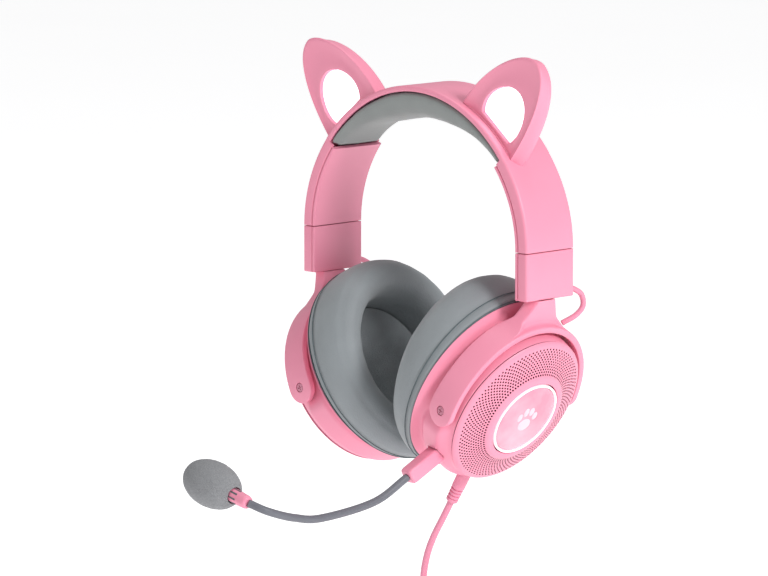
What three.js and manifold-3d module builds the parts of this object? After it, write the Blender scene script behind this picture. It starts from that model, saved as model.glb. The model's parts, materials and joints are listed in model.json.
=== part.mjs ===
// Over-ear gaming headset with cat ears, a detachable boom microphone and a USB lead.
// Millimetres. +Z is up, +X is the wearer's left and the wearer faces -Y.
// The origin is the crown seat: the middle of the headband pad's underside.
import * as THREE from "three";
import { mergeVertices } from "three/addons/utils/BufferGeometryUtils.js";
import Module from "manifold-3d";

const wasm = await Module();
wasm.setup();

// ---------- driving dimensions ----------
const DEG = Math.PI / 180;
const GAP = 0.3; // clearance between neighbouring pieces
const WALL = 1.6; // wall of the moulded covers

// headband
const SEAM_Z = -63.5; // level of the seam between arm and end block, and of the arc's centre
const BAND_R = 85; // outer radius of the headband arc
const BAND_RISE = 83; // height of the outer face over the seam level
const BAND_FLATTEN = 0.012; // how far the shoulders stay inside the round arc
const BAND_HALF_WIDTH = 18.4;
const ARM_THICKNESS = 9;
const COVER_THICKNESS = 1.9; // inner cover of an arm or end block
const SPRING_HALF_WIDTH = 8;
const SPRING_THICKNESS = 0.9;
const PAD_END = 37; // degrees up from the seam level where the pad starts
const PAD_LIP_R = 81.7; // radius of the shell's lower edge along the pad
const PAD_EDGE_THICKNESS = 4.6; // pad thickness at its two ends
const PAD_MID_THICKNESS = 9; // pad thickness at the crown, before its crowned underside
const PAD_CROWNING = 7.1; // how far the underside bulges in the middle

// ears
const EAR_ANGLE = 50.3; // degrees up from the seam level
const EAR_LAYERS = [
  { y: -13.6, outer: 21, inner: 24.6, height: 50.5 }, // front crease
  { y: -7, outer: 24.8, inner: 25, height: 48.5 }, // widest, half way back
  { y: -1.5, outer: 21, inner: 22, height: 43 }, // back face
];
const EAR_POCKET_DEPTH = 5.6;
const EAR_PANEL_RECESS = 2.9;

// end block, slider and swivel
const BLOCK_HEIGHT = 26;
const SEAM_GAP = 0.5;
const SLIDE_LEAN = 7.5; // degrees from vertical, so the straight strip fits the curved arm
const STRIP_X = 79.75; // middle of the strip at the seam
const STRIP_HALF_WIDTH = 7;
const STRIP_ENGAGED = 24; // length of strip inside the arm
const STRIP_HELD = 12; // length of strip inside the block
const SWIVEL_X = 81; // the yoke turns about a vertical pin here
const SWIVEL_SHANK_R = 1.4;
const SWIVEL_HEAD_R = 2.15;

// yoke and cup
const YOKE_LEAN = 25.4; // degrees, yoke plane from vertical
const YOKE_REACH = 63.8; // from the pivot axis up to the end block
const YOKE_INNER_R = 47;
const YOKE_OUTER_R = 50.6;
const YOKE_RATIO = 0.975; // width to height of the fork
const YOKE_END_R = 8.4; // round ends at the pivots
const CUP_FORWARD = 2.3; // the fork sits this far forward of the band
const CUP_TILT = 29.2; // degrees, cup axis below the horizontal
const DISC_X = 9.3; // rim plane of the grille, outward of the pivot axis
const CUP_RATIO = 0.96; // width to height of the oval cup
const FLARE_R = 49.8; // the lower half of the shell swells to this radius
const CUSHION_RATIO = 0.925;
const CUSHION_BACK = -16.6; // seam between shell and cushion
const CUSHION_WEDGE = 0.3; // share by which the cushion is deeper at its top
const PIVOT_R = 1.4; // shank of the pivot screw
const PIVOT_HEAD_R = 2.4;
const EMBLEM_R = 20.5; // half height of the oval emblem
const RING_R = 22.2; // half height of the light ring
const EMBLEM_RATIO = 0.97;
const DRIVER_R = 20;

// controls on the back of the left cup
const WHEEL_ANGLE = 38; // degrees below the pivot line, at the back
const WHEEL_R = 9;
const WHEEL_CENTRE = 41.5;
const BUTTON_ANGLE = 64;
const BUTTON_R = 3.2;

// microphone: points along the boom and its two bends
const JACK = [39, -39, -173];
const BOOM_START = [37, -59.6, -184];
const BOOM_BEND_1 = [34.3, -82, -194.9];
const BOOM_MIDDLE = [[34.3, -120.3, -198.3], [35.2, -141.2, -195.3]];
const BOOM_BEND_2 = [35, -159.7, -189.6];
const BOOM_END = [26.8, -166.6, -185.2];
const BOOM_R = 2.1;
const COLLAR_END = [12.1, -165.6, -182.2];
const WINDSCREEN_CENTRE = [-2.5, -164.6, -179.3];
const WINDSCREEN_LENGTH = 38;
const WINDSCREEN_R = 12.3;

// cable
const CABLE_R = 1.85;
const RELIEF_TOP = [30.4, -8.7, -189];
const RELIEF_END = [21.2, -9.6, -205.3];
const CABLE_ROUTE = [
  [21, -9.65, -205.7], [15.5, -10.3, -215.5], [9.7, -11, -225.5], [5.5, -11.6, -235],
  [3.2, -12, -244], [2.2, -12, -251], [2, -12, -258], [2, -12, -269.4],
];
const COIL_R = 21; // to the middle of the coiled turns
const COIL_SECTION = 7.9; // half the width of the bundle of turns
const COIL_DROP = 15.6; // the lead meets the ring this far above its middle, and leaves as far below
const TURN_PITCH = 3.78; // from turn to turn
const TAIL_LENGTH = 14.4;
const PLUG_BODY = [15.5, 8, 27];
const PLUG_SHELL = [12, 4.5, 11.8];

const SIDES = [
  { name: "left", mirror: 1 },
  { name: "right", mirror: -1 },
];

// ---------- materials ----------
const finish = (color, roughness, metalness = 0) =>
  new THREE.MeshStandardMaterial({ color, roughness, metalness });
const MATERIAL = {
  pink: finish(0xf79fbd, 0.45),
  pinkSoft: finish(0xe98fb0, 0.6),
  grey: finish(0x868d90, 0.9),
  foam: finish(0x8f9194, 0.95),
  goose: finish(0x9c9ca8, 0.6),
  light: finish(0xffffff, 0.4),
  steel: finish(0xb8bcc2, 0.3, 1),
  black: finish(0x2b2b2e, 0.6),
  board: finish(0x2f6b46, 0.6),
};

// ---------- geometry helpers ----------
const V = (x, y, z) => new THREE.Vector3(x, y, z);

// A closed manifold solid from a geometry, whichever way round its faces were wound.
function solid(geometry) {
  const plain = new THREE.BufferGeometry();
  plain.setAttribute("position", geometry.getAttribute("position").clone());
  if (geometry.index) plain.setIndex(geometry.index.clone());
  const merged = mergeVertices(plain, 1e-4);
  const triVerts = new Uint32Array(merged.index.array);
  const build = () =>
    new wasm.Manifold(
      new wasm.Mesh({ numProp: 3, vertProperties: merged.attributes.position.array, triVerts }),
    );
  let made = build();
  if (made.volume() < 0) {
    for (let i = 0; i < triVerts.length; i += 3)
      [triVerts[i + 1], triVerts[i + 2]] = [triVerts[i + 2], triVerts[i + 1]];
    made = build();
  }
  return made;
}

function geometryOf(manifold) {
  const mesh = manifold.getMesh();
  const flat = new Float32Array(mesh.numVert * 3);
  for (let i = 0; i < mesh.numVert; i++)
    flat.set(mesh.vertProperties.subarray(i * mesh.numProp, i * mesh.numProp + 3), i * 3);
  const geometry = new THREE.BufferGeometry();
  geometry.setAttribute("position", new THREE.BufferAttribute(flat, 3));
  geometry.setIndex(new THREE.BufferAttribute(mesh.triVerts, 1));
  geometry.computeVertexNormals();
  return geometry;
}

const cut = (body, ...tools) => tools.reduce((a, b) => a.subtract(b), body);
const join = (body, ...others) => others.reduce((a, b) => a.add(b), body);

// A solid skinned over a row of closed sections, each an array of the same number of Vector3.
function loft(sections, closed = false) {
  const count = sections[0].length;
  const positions = [];
  const index = [];
  for (const ring of sections) for (const p of ring) positions.push(p.x, p.y, p.z);
  const steps = closed ? sections.length : sections.length - 1;
  for (let i = 0; i < steps; i++)
    for (let j = 0; j < count; j++) {
      const a = i * count + j;
      const b = i * count + ((j + 1) % count);
      const c = ((i + 1) % sections.length) * count + ((j + 1) % count);
      const d = ((i + 1) % sections.length) * count + j;
      index.push(a, b, c, a, c, d);
    }
  if (!closed)
    for (const i of [0, sections.length - 1]) {
      const flip = i === 0;
      const outline = sections[i];
      const faces = capTriangles(outline);
      for (const [a, b, c] of faces) {
        const base = i * count;
        if (flip) index.push(base + a, base + c, base + b);
        else index.push(base + a, base + b, base + c);
      }
    }
  const geometry = new THREE.BufferGeometry();
  geometry.setAttribute("position", new THREE.Float32BufferAttribute(positions, 3));
  geometry.setIndex(index);
  return geometry;
}

// Triangles that close a flat outline, wound the way the outline runs.
function capTriangles(outline) {
  const normal = new THREE.Vector3();
  outline.forEach((p, i) => {
    const q = outline[(i + 1) % outline.length];
    normal.add(new THREE.Vector3().crossVectors(p, q));
  });
  normal.normalize();
  const side = Math.abs(normal.x) < 0.9 ? V(1, 0, 0) : V(0, 1, 0);
  const u = new THREE.Vector3().crossVectors(normal, side).normalize();
  const v = new THREE.Vector3().crossVectors(normal, u);
  const flat = outline.map((p) => new THREE.Vector2(p.dot(u), p.dot(v)));
  return THREE.ShapeUtils.triangulateShape(flat, []);
}

// An oval piece turned about the cup's own axis; profile holds [outward, half height] pairs.
function oval(profile, ratio = CUP_RATIO, segments = 40) {
  const points = profile.map(([x, r]) => new THREE.Vector2(r, x));
  const geometry = new THREE.LatheGeometry(points, segments);
  geometry.rotateZ(-Math.PI / 2);
  geometry.rotateX(Math.PI / 2 / segments);
  geometry.scale(1, ratio, 1);
  return geometry;
}

function cylinder(radius, from, to, segments = 16, endRadius = radius) {
  const axis = new THREE.Vector3().subVectors(to, from);
  const geometry = new THREE.CylinderGeometry(endRadius, radius, axis.length(), segments);
  geometry.applyQuaternion(new THREE.Quaternion().setFromUnitVectors(V(0, 1, 0), axis.clone().normalize()));
  geometry.translate((from.x + to.x) / 2, (from.y + to.y) / 2, (from.z + to.z) / 2);
  return geometry;
}

// A box from its lowest to its highest corner.
function block(x0, y0, z0, x1, y1, z1) {
  const geometry = new THREE.BoxGeometry(x1 - x0, y1 - y0, z1 - z0);
  geometry.translate((x0 + x1) / 2, (y0 + y1) / 2, (z0 + z1) / 2);
  return geometry;
}

const smooth = (low, high, value) => THREE.MathUtils.smoothstep(value, low, high);
const at = (point) => V(...point);
const box = (...corners) => solid(block(...corners));
const rod = (...measures) => solid(cylinder(...measures));

// A round tube along a smooth curve through the points.
function tube(points, radius, steps, sides = 8) {
  const section = new THREE.Shape();
  for (let i = 0; i < sides; i++) {
    const a = ((i + 0.5) / sides) * 2 * Math.PI;
    if (i === 0) section.moveTo(radius * Math.cos(a), radius * Math.sin(a));
    else section.lineTo(radius * Math.cos(a), radius * Math.sin(a));
  }
  const path = new THREE.CatmullRomCurve3(points.map(at));
  return new THREE.ExtrudeGeometry(section, { extrudePath: path, steps, bevelEnabled: false });
}

// A piece turned about a line: profile holds [along, radius] pairs from start towards end.
function turned(profile, start, end, segments = 20) {
  const geometry = new THREE.LatheGeometry(profile.map(([along, r]) => new THREE.Vector2(r, along)), segments);
  const axis = new THREE.Vector3().subVectors(end, start).normalize();
  geometry.applyQuaternion(new THREE.Quaternion().setFromUnitVectors(V(0, 1, 0), axis));
  geometry.translate(start.x, start.y, start.z);
  return geometry;
}

function piece(parent, name, shape, material) {
  const geometry = geometryOf(shape.isBufferGeometry ? solid(shape) : shape);
  const mesh = new THREE.Mesh(geometry, material);
  mesh.name = name;
  parent.add(mesh);
  return mesh;
}

// The same shape, given in the headset's frame, as the group sees it.
function seenFrom(group, geometry) {
  group.updateWorldMatrix(true, false);
  return geometry.applyMatrix4(group.matrixWorld.clone().invert());
}

// ---------- headband ----------
// The band's shape at an angle up from the seam level; drop is how far inside the outer face.
function bandRadius(angle, drop) {
  return (BAND_R - drop) * (1 - BAND_FLATTEN * Math.sin(2 * angle) ** 2);
}
function bandPoint(angle, drop, y) {
  const r = bandRadius(angle, drop);
  return V(r * Math.cos(angle), y, SEAM_Z + r * Math.sin(angle) * (BAND_RISE / BAND_R));
}
const spread = (from, to, steps) =>
  Array.from({ length: steps + 1 }, (_, i) => from + ((to - from) * i) / steps);
const sweepBand = (angles, section) =>
  loft(angles.map((angle) => section(angle).map(([y, drop]) => bandPoint(angle * DEG, drop, y))));
const slab = (halfWidth, top, bottom) => [
  [-halfWidth, top], [halfWidth, top], [halfWidth, bottom], [-halfWidth, bottom],
];

function outerShell() {
  const w = BAND_HALF_WIDTH;
  const lipInArm = ARM_THICKNESS - COVER_THICKNESS - GAP;
  const lipAtPad = BAND_R - PAD_LIP_R;
  const arm = spread(0, PAD_END, 8);
  const angles = [...arm, ...spread(PAD_END + 0.4, 179.6 - PAD_END, 22), ...arm.map((a) => 180 - a).reverse()];
  return sweepBand(angles, (angle) => {
    const lip = Math.min(angle, 180 - angle) <= PAD_END ? lipInArm : lipAtPad;
    return [
      [-w, lip], [-w, 1.2], [-w + 1.2, 0], [w - 1.2, 0], [w, 1.2], [w, lip],
      [w - 2, lip], [w - 2, WALL], [-w + 2, WALL], [-w + 2, lip],
    ];
  });
}

function coverSection() {
  const w = BAND_HALF_WIDTH;
  const top = ARM_THICKNESS - COVER_THICKNESS;
  return [
    [-w, top], [w, top], [w, ARM_THICKNESS - 0.9], [w - 0.9, ARM_THICKNESS],
    [-w + 0.9, ARM_THICKNESS], [-w, ARM_THICKNESS - 0.9],
  ];
}

function headbandPad() {
  const top = BAND_R - PAD_LIP_R + GAP;
  const half = BAND_HALF_WIDTH - GAP;
  return sweepBand(spread(PAD_END + 1, 179 - PAD_END, 20), (angle) => {
    const rise = smooth(PAD_END, 80, Math.min(angle, 180 - angle));
    const edge = THREE.MathUtils.lerp(PAD_EDGE_THICKNESS, PAD_MID_THICKNESS, rise);
    const crown = THREE.MathUtils.lerp(0.4, PAD_CROWNING, rise);
    const points = [[-half, top], [half, top]];
    for (let i = 0; i <= 8; i++) {
      const s = 1 - i / 4;
      const bulge = Math.sqrt(Math.max(0, 1 - s * s));
      points.push([half * s, top + edge * (0.55 + 0.45 * Math.min(1, bulge * 1.6)) + crown * bulge ** 1.5]);
    }
    return points;
  });
}

function buildHeadband(root) {
  const spring = slab(SPRING_HALF_WIDTH, WALL + GAP, WALL + GAP + SPRING_THICKNESS);
  piece(root, "headband_outer_shell", outerShell(), MATERIAL.pink);
  piece(root, "headband_spring_band", sweepBand(spread(4, 176, 30), () => spring), MATERIAL.steel);
  piece(root, "headband_pad", headbandPad(), MATERIAL.grey);
}

// ---------- ears ----------
// An ear's outline over the band: u runs round the band towards the crown, v away from it.
function earOutline({ outer, inner, height }) {
  const foot = -6;
  const shape = new THREE.Shape();
  shape.moveTo(-outer, foot);
  shape.bezierCurveTo(-outer - 0.5, height * 0.42, -outer * 0.72, height * 0.98, -1, height);
  shape.bezierCurveTo(inner * 0.36, height, inner * 1.08, height * 0.52, inner, foot);
  return shape.getPoints(12);
}
// The lit opening: a flat foot, bulging sides and a round top. inset shrinks it all round.
function earOpening(inset) {
  const shape = new THREE.Shape();
  const top = 28.7 - inset;
  const foot = 2.2 + inset;
  shape.moveTo(-13 + inset, foot);
  shape.bezierCurveTo(-18 + inset, 9, -14 + inset, top, -1.5, top);
  shape.bezierCurveTo(9 - inset, top, 19 - inset, 12, 11.5 - inset, foot);
  shape.closePath();
  return shape;
}
function buildEar(parent, side) {
  const angle = EAR_ANGLE * DEG;
  const base = bandPoint(angle, 0, 0);
  const round = V(-Math.sin(angle), 0, Math.cos(angle));
  const away = V(Math.cos(angle), 0, Math.sin(angle));
  const place = new THREE.Matrix4().makeBasis(round, away, V(0, -1, 0)).setPosition(base);
  const rings = EAR_LAYERS.map((layer) =>
    earOutline(layer).map(({ x, y }) => V(x, y, -layer.y).applyMatrix4(place)),
  );
  const front = -EAR_LAYERS[0].y;
  const prism = (inset, from, to) => {
    const options = { depth: to - from, bevelEnabled: false, curveSegments: 10 };
    const geometry = new THREE.ExtrudeGeometry(earOpening(inset), options);
    return solid(geometry.translate(0, 0, from).applyMatrix4(place));
  };
  const floor = front - EAR_POCKET_DEPTH;
  const seat = solid(sweepBand(spread(0, 110, 28), () => slab(30, -GAP, 12)));
  const frame = cut(solid(loft(rings)), seat, prism(0, floor, front + 2));
  piece(parent, "ear_frame_" + side.name, frame, MATERIAL.pink);
  const panel = prism(GAP, floor + GAP, front - EAR_PANEL_RECESS);
  piece(parent, "ear_light_panel_" + side.name, panel, MATERIAL.light);
}

// ---------- end block, slider strip and swivel screw ----------
function buildEndBlock(parent, side) {
  const w = BAND_HALF_WIDTH;
  const top = SEAM_Z - SEAM_GAP;
  const bottom = SEAM_Z - BLOCK_HEIGHT;
  const inside = BAND_R - ARM_THICKNESS;
  const lip = inside + COVER_THICKNESS + GAP;
  const lean = new THREE.Matrix4().makeRotationY(-SLIDE_LEAN * DEG).setPosition(STRIP_X, 0, SEAM_Z);
  const strip = (grow) => {
    const half = 0.5 + grow;
    const wide = STRIP_HALF_WIDTH + grow;
    return solid(block(-half, -wide, -STRIP_HELD, half, wide, STRIP_ENGAGED).applyMatrix4(lean));
  };
  const swivelLine = (z) => V(SWIVEL_X, 0, z);
  const pocket = box(inside - 1, -w + 2, bottom + 5, BAND_R - WALL, w - 2, top - WALL);
  const bore = rod(SWIVEL_SHANK_R + GAP, swivelLine(bottom - 1), swivelLine(bottom + 3));
  const counterbore = rod(SWIVEL_HEAD_R + GAP, swivelLine(bottom + 2.4), swivelLine(bottom + 6));
  const outer = cut(box(lip, -w, bottom, BAND_R, w, top), pocket, strip(GAP), bore, counterbore);
  piece(parent, "end_block_outer_" + side.name, outer, MATERIAL.pink);
  piece(parent, "end_block_inner_" + side.name,
    block(inside, -w, bottom, inside + COVER_THICKNESS, w, top), MATERIAL.pink);
  piece(parent, "slider_strip_" + side.name, strip(0), MATERIAL.steel);
  const shank = rod(SWIVEL_SHANK_R, swivelLine(bottom - 4), swivelLine(bottom + 3), 14);
  const head = rod(SWIVEL_HEAD_R, swivelLine(bottom + 2.8), swivelLine(bottom + 4.6), 14);
  piece(parent, "swivel_screw_" + side.name, join(shank, head), MATERIAL.steel);
  const loop = [
    [80, 19.2, -85.5], [80, 24, -87], [80, 29.5, -90.5], [79.8, 31, -96.5], [78, 27.5, -101.5], [74.1, 20.7, -105.6],
  ];
  piece(parent, "wire_loop_" + side.name, tube(loop, 1.5, 14), MATERIAL.pinkSoft);
}

// ---------- yoke ----------
function yokeSections() {
  const rings = [];
  const lowest = -9.6;
  const steps = 46;
  for (let i = 0; i <= steps; i++) {
    const psi = lowest + ((180 - 2 * lowest) * i) / steps;
    const off = Math.abs(psi - 90);
    const rise = (1 - Math.min(1, Math.max(0, off - 5.5) / 22)) ** 2.6; // the neck over the band
    const below = Math.max(0, off - 90) * DEG * YOKE_INNER_R;
    const end = Math.sqrt(Math.max(0.02, 1 - (below / YOKE_END_R) ** 2)) * YOKE_END_R;
    const ends = smooth(60, 90, off);
    const front = THREE.MathUtils.lerp(8.5, end, ends);
    const back = -THREE.MathUtils.lerp(7.3, end, ends);
    const edge = Math.min(1, (front - back) / 4);
    const thin = smooth(0, 0.3, rise);
    const neckFront = THREE.MathUtils.lerp(front - 1.4 * edge, 4, thin);
    const neckBack = THREE.MathUtils.lerp(back + 1.4 * edge, -4, thin);
    const outer = YOKE_OUTER_R + 0.2 + 15.5 * rise;
    const section = [
      [front, YOKE_INNER_R], [front, YOKE_OUTER_R - edge], [front - edge, YOKE_OUTER_R],
      [neckFront, YOKE_OUTER_R + 0.1], [neckFront, outer], [neckBack, outer], [neckBack, YOKE_OUTER_R + 0.1],
      [back + edge, YOKE_OUTER_R], [back, YOKE_OUTER_R - edge], [back, YOKE_INNER_R],
    ];
    const c = Math.cos(psi * DEG) * YOKE_RATIO;
    rings.push(section.map(([x, r]) => V(x, -r * c, r * Math.sin(psi * DEG))));
  }
  return rings;
}

function buildYoke(yoke, side) {
  const bottom = SEAM_Z - BLOCK_HEIGHT;
  const lid = solid(seenFrom(yoke, block(0, -60, bottom - GAP, 150, 60, bottom + 60)
    .applyMatrix4(new THREE.Matrix4().makeScale(side.mirror, 1, 1))));
  const pin = solid(seenFrom(yoke, cylinder(SWIVEL_SHANK_R + GAP,
    V(side.mirror * SWIVEL_X, 0, bottom - 4.5), V(side.mirror * SWIVEL_X, 0, bottom + 1))));
  let fork = cut(solid(loft(yokeSections())), lid, pin);
  for (const [end, sign] of [["front", -1], ["rear", 1]]) {
    const y = (r) => V(0, sign * r, 0);
    const face = YOKE_OUTER_R * YOKE_RATIO;
    fork = cut(fork, rod(PIVOT_R + GAP, y(face - 8), y(face + 2)),
      rod(PIVOT_HEAD_R + GAP, y(face - 1.6), y(face + 2)));
    const screw = join(rod(PIVOT_R, y(face - 9.5), y(face - 0.9)), rod(PIVOT_HEAD_R, y(face - 1.3), y(face - 0.1)));
    const cross = [box(-1.5, sign * face - 0.7, -0.3, 1.5, sign * face + 0.7, 0.3),
      box(-0.3, sign * face - 0.7, -1.5, 0.3, sign * face + 0.7, 1.5)];
    piece(yoke, "pivot_screw_" + end + "_" + side.name, cut(screw, ...cross), MATERIAL.steel);
  }
  piece(yoke, "yoke_" + side.name, fork, MATERIAL.pink);
}

// ---------- cups ----------
// The lower half of the shell swells out to meet the fork's outer face, and fades into the rim.
function flare(geometry) {
  const place = geometry.getAttribute("position");
  for (let i = 0; i < place.count; i++) {
    const [x, y, z] = [place.getX(i), place.getY(i), place.getZ(i)];
    const r = Math.hypot(y / CUP_RATIO, z);
    if (r < 43.9) continue;
    const share = smooth(5, 14, -z) * (1 - smooth(1, DISC_X - 1.2, x)) * smooth(CUSHION_BACK + 1, -9, x);
    const target = Math.max(r, THREE.MathUtils.lerp(r, FLARE_R, share));
    const wide = THREE.MathUtils.lerp(CUP_RATIO, YOKE_RATIO, share);
    place.setY(i, (y / CUP_RATIO) * (target / r) * wide);
    place.setZ(i, z * THREE.MathUtils.lerp(1, target / r, 0.75));
  }
  return geometry;
}
function shellProfile() {
  const rim = DISC_X - GAP - 0.5;
  return [
    [rim, 42.8], [rim, 44.9], [5, 45.3], [0, 45.5], [-5, 45.4], [-9, 45], [-12, 46.5], [-14, 49.5],
    [CUSHION_BACK + GAP, 53.5], [CUSHION_BACK + GAP, 50], [-13, 46], [-9.5, 43], [rim, 42.8],
  ];
}
// The perforated dome: ratio narrows from the round rim to the oval boss in the middle.
function grille() {
  const profile = [
    [0, 44.9], [0.9, 44.4], [2.5, 40], [4.1, 34], [6, 28.6], [7.9, 26], [8.4, RING_R + GAP],
    [6.6, RING_R + GAP], [6.2, 26], [4.4, 29], [2.4, 34.6], [-0.5, 43.6], [0, 44.9],
  ];
  const geometry = oval(profile.map(([x, r]) => [DISC_X + x, r]), 1, 30);
  const place = geometry.getAttribute("position");
  for (let i = 0; i < place.count; i++) {
    const r = Math.hypot(place.getY(i), place.getZ(i));
    place.setY(i, place.getY(i) * THREE.MathUtils.mapLinear(r, RING_R, 44.9, EMBLEM_RATIO, CUP_RATIO));
  }
  return geometry;
}
// The cushion is deeper at its top than at its bottom.
function deepen(geometry) {
  const place = geometry.getAttribute("position");
  for (let i = 0; i < place.count; i++) {
    const depth = place.getX(i) - CUSHION_BACK;
    place.setX(i, CUSHION_BACK + depth * (1 + (CUSHION_WEDGE * place.getZ(i)) / 50));
  }
  return geometry;
}
function cushionProfile() {
  return [
    [CUSHION_BACK, 50], [CUSHION_BACK, 54.6], [-18.4, 55.5], [-25, 55.6], [-31, 54.6], [-36, 52.6], [-40, 48.6],
    [-42, 43.5], [-41, 38.5], [-38, 35.5], [-32, 34], [CUSHION_BACK, 34], [CUSHION_BACK, 50],
  ];
}
const ovalDisc = (from, to, r, ratio, segments = 24) =>
  oval([[from, 0], [from, r], [to, r], [to, 0]], ratio, segments);
const ovalRing = (from, to, inner, outer, ratio, segments = 28) =>
  oval([[from, inner], [from, outer], [to, outer], [to, inner], [from, inner]], ratio, segments);

// A point on the cup's circumference, at the back and this many degrees below the pivot line.
const onRim = (degrees, r, x) => V(x, r * Math.cos(degrees * DEG), -r * Math.sin(degrees * DEG));

function buildCup(cup, side) {
  let shell = solid(flare(oval(shellProfile(), CUP_RATIO, 36)));
  for (const sign of [-1, 1]) {
    const inner = YOKE_INNER_R * YOKE_RATIO - 0.7; // the fork dips this far inside its ends
    const boss = rod(5.5, V(0, sign * 38.5, 0), V(0, sign * (inner - GAP), 0));
    const sweep = rod(YOKE_END_R + 0.9, V(0, sign * (inner - GAP), 0), V(0, sign * 60, 0));
    const bore = rod(PIVOT_R + GAP, V(0, sign * 39.4, 0), V(0, sign * 60, 0));
    shell = cut(join(shell, boss), sweep, bore);
  }
  if (side.name === "left") shell = cut(shell, ...buildLeftCupFittings(cup));
  piece(cup, "cup_shell_" + side.name, shell, MATERIAL.pink);
  piece(cup, "grille_" + side.name, grille(), MATERIAL.pink);
  piece(cup, "light_ring_" + side.name,
    ovalRing(DISC_X + 6.8, DISC_X + 8.8, EMBLEM_R + GAP, RING_R, EMBLEM_RATIO), MATERIAL.light);
  piece(cup, "emblem_" + side.name, ovalDisc(DISC_X + 6.4, DISC_X + 8.3, EMBLEM_R, EMBLEM_RATIO), MATERIAL.pinkSoft);
  piece(cup, "led_board_" + side.name, ovalDisc(DISC_X + 1.2, DISC_X + 2.4, 24, EMBLEM_RATIO, 24), MATERIAL.board);
  piece(cup, "driver_baffle_" + side.name,
    ovalRing(CUSHION_BACK + 0.5, CUSHION_BACK + 2.1, (DRIVER_R + GAP) / CUP_RATIO, 45.4, CUP_RATIO), MATERIAL.black);
  piece(cup, "driver_" + side.name, ovalDisc(CUSHION_BACK - 0.6, CUSHION_BACK + 6, DRIVER_R, 1, 28), MATERIAL.black);
  piece(cup, "scrim_" + side.name,
    ovalDisc(CUSHION_BACK - 2.6, CUSHION_BACK - 1.6, 33.5, CUSHION_RATIO), MATERIAL.foam);
  piece(cup, "ear_cushion_" + side.name, deepen(oval(cushionProfile(), CUSHION_RATIO, 30)), MATERIAL.grey);
}

// Wheel, button, board and sockets; gives back what the shell is cut by to take them.
function buildLeftCupFittings(cup) {
  const wheelX = -3;
  const wheelLine = (x) => onRim(WHEEL_ANGLE, WHEEL_CENTRE, wheelX + x);
  const buttonLine = (r) => onRim(BUTTON_ANGLE, r, wheelX);
  piece(cup, "volume_wheel", cylinder(WHEEL_R, wheelLine(-1.5), wheelLine(1.5), 28), MATERIAL.pinkSoft);
  piece(cup, "mute_button", cylinder(BUTTON_R, buttonLine(40), buttonLine(50), 20), MATERIAL.pinkSoft);

  const inward = new THREE.Vector3().subVectors(at(JACK), at(BOOM_START)).normalize();
  const along = (distance) => at(JACK).addScaledVector(inward, distance);
  const jack = cut(solid(seenFrom(cup, cylinder(4, along(9), along(17)))),
    solid(seenFrom(cup, cylinder(1.75 + GAP, along(8), along(15)))));
  const board = box(-6.2, -20, -32, -4.8, 14, -12);
  const rib = box(-5.2, -22, -26, 3, -19, -20);
  piece(cup, "main_board", join(board, rib, jack), MATERIAL.board);

  const down = new THREE.Vector3().subVectors(at(RELIEF_END), at(RELIEF_TOP)).normalize();
  const under = (distance) => at(RELIEF_TOP).addScaledVector(down, distance);
  return [
    rod(WHEEL_R + 0.6, wheelLine(-2), wheelLine(2), 28),
    rod(BUTTON_R + 0.35, buttonLine(30), buttonLine(60)),
    solid(seenFrom(cup, cylinder(1.75 + GAP, along(-9), along(10)))),
    solid(seenFrom(cup, block(-4.6, -4.6, 0, 4.6, 4.6, 20).applyMatrix4(mouthPlace()))),
    solid(seenFrom(cup, cylinder(4.1, under(-6), under(14)))),
  ];
}

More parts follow.
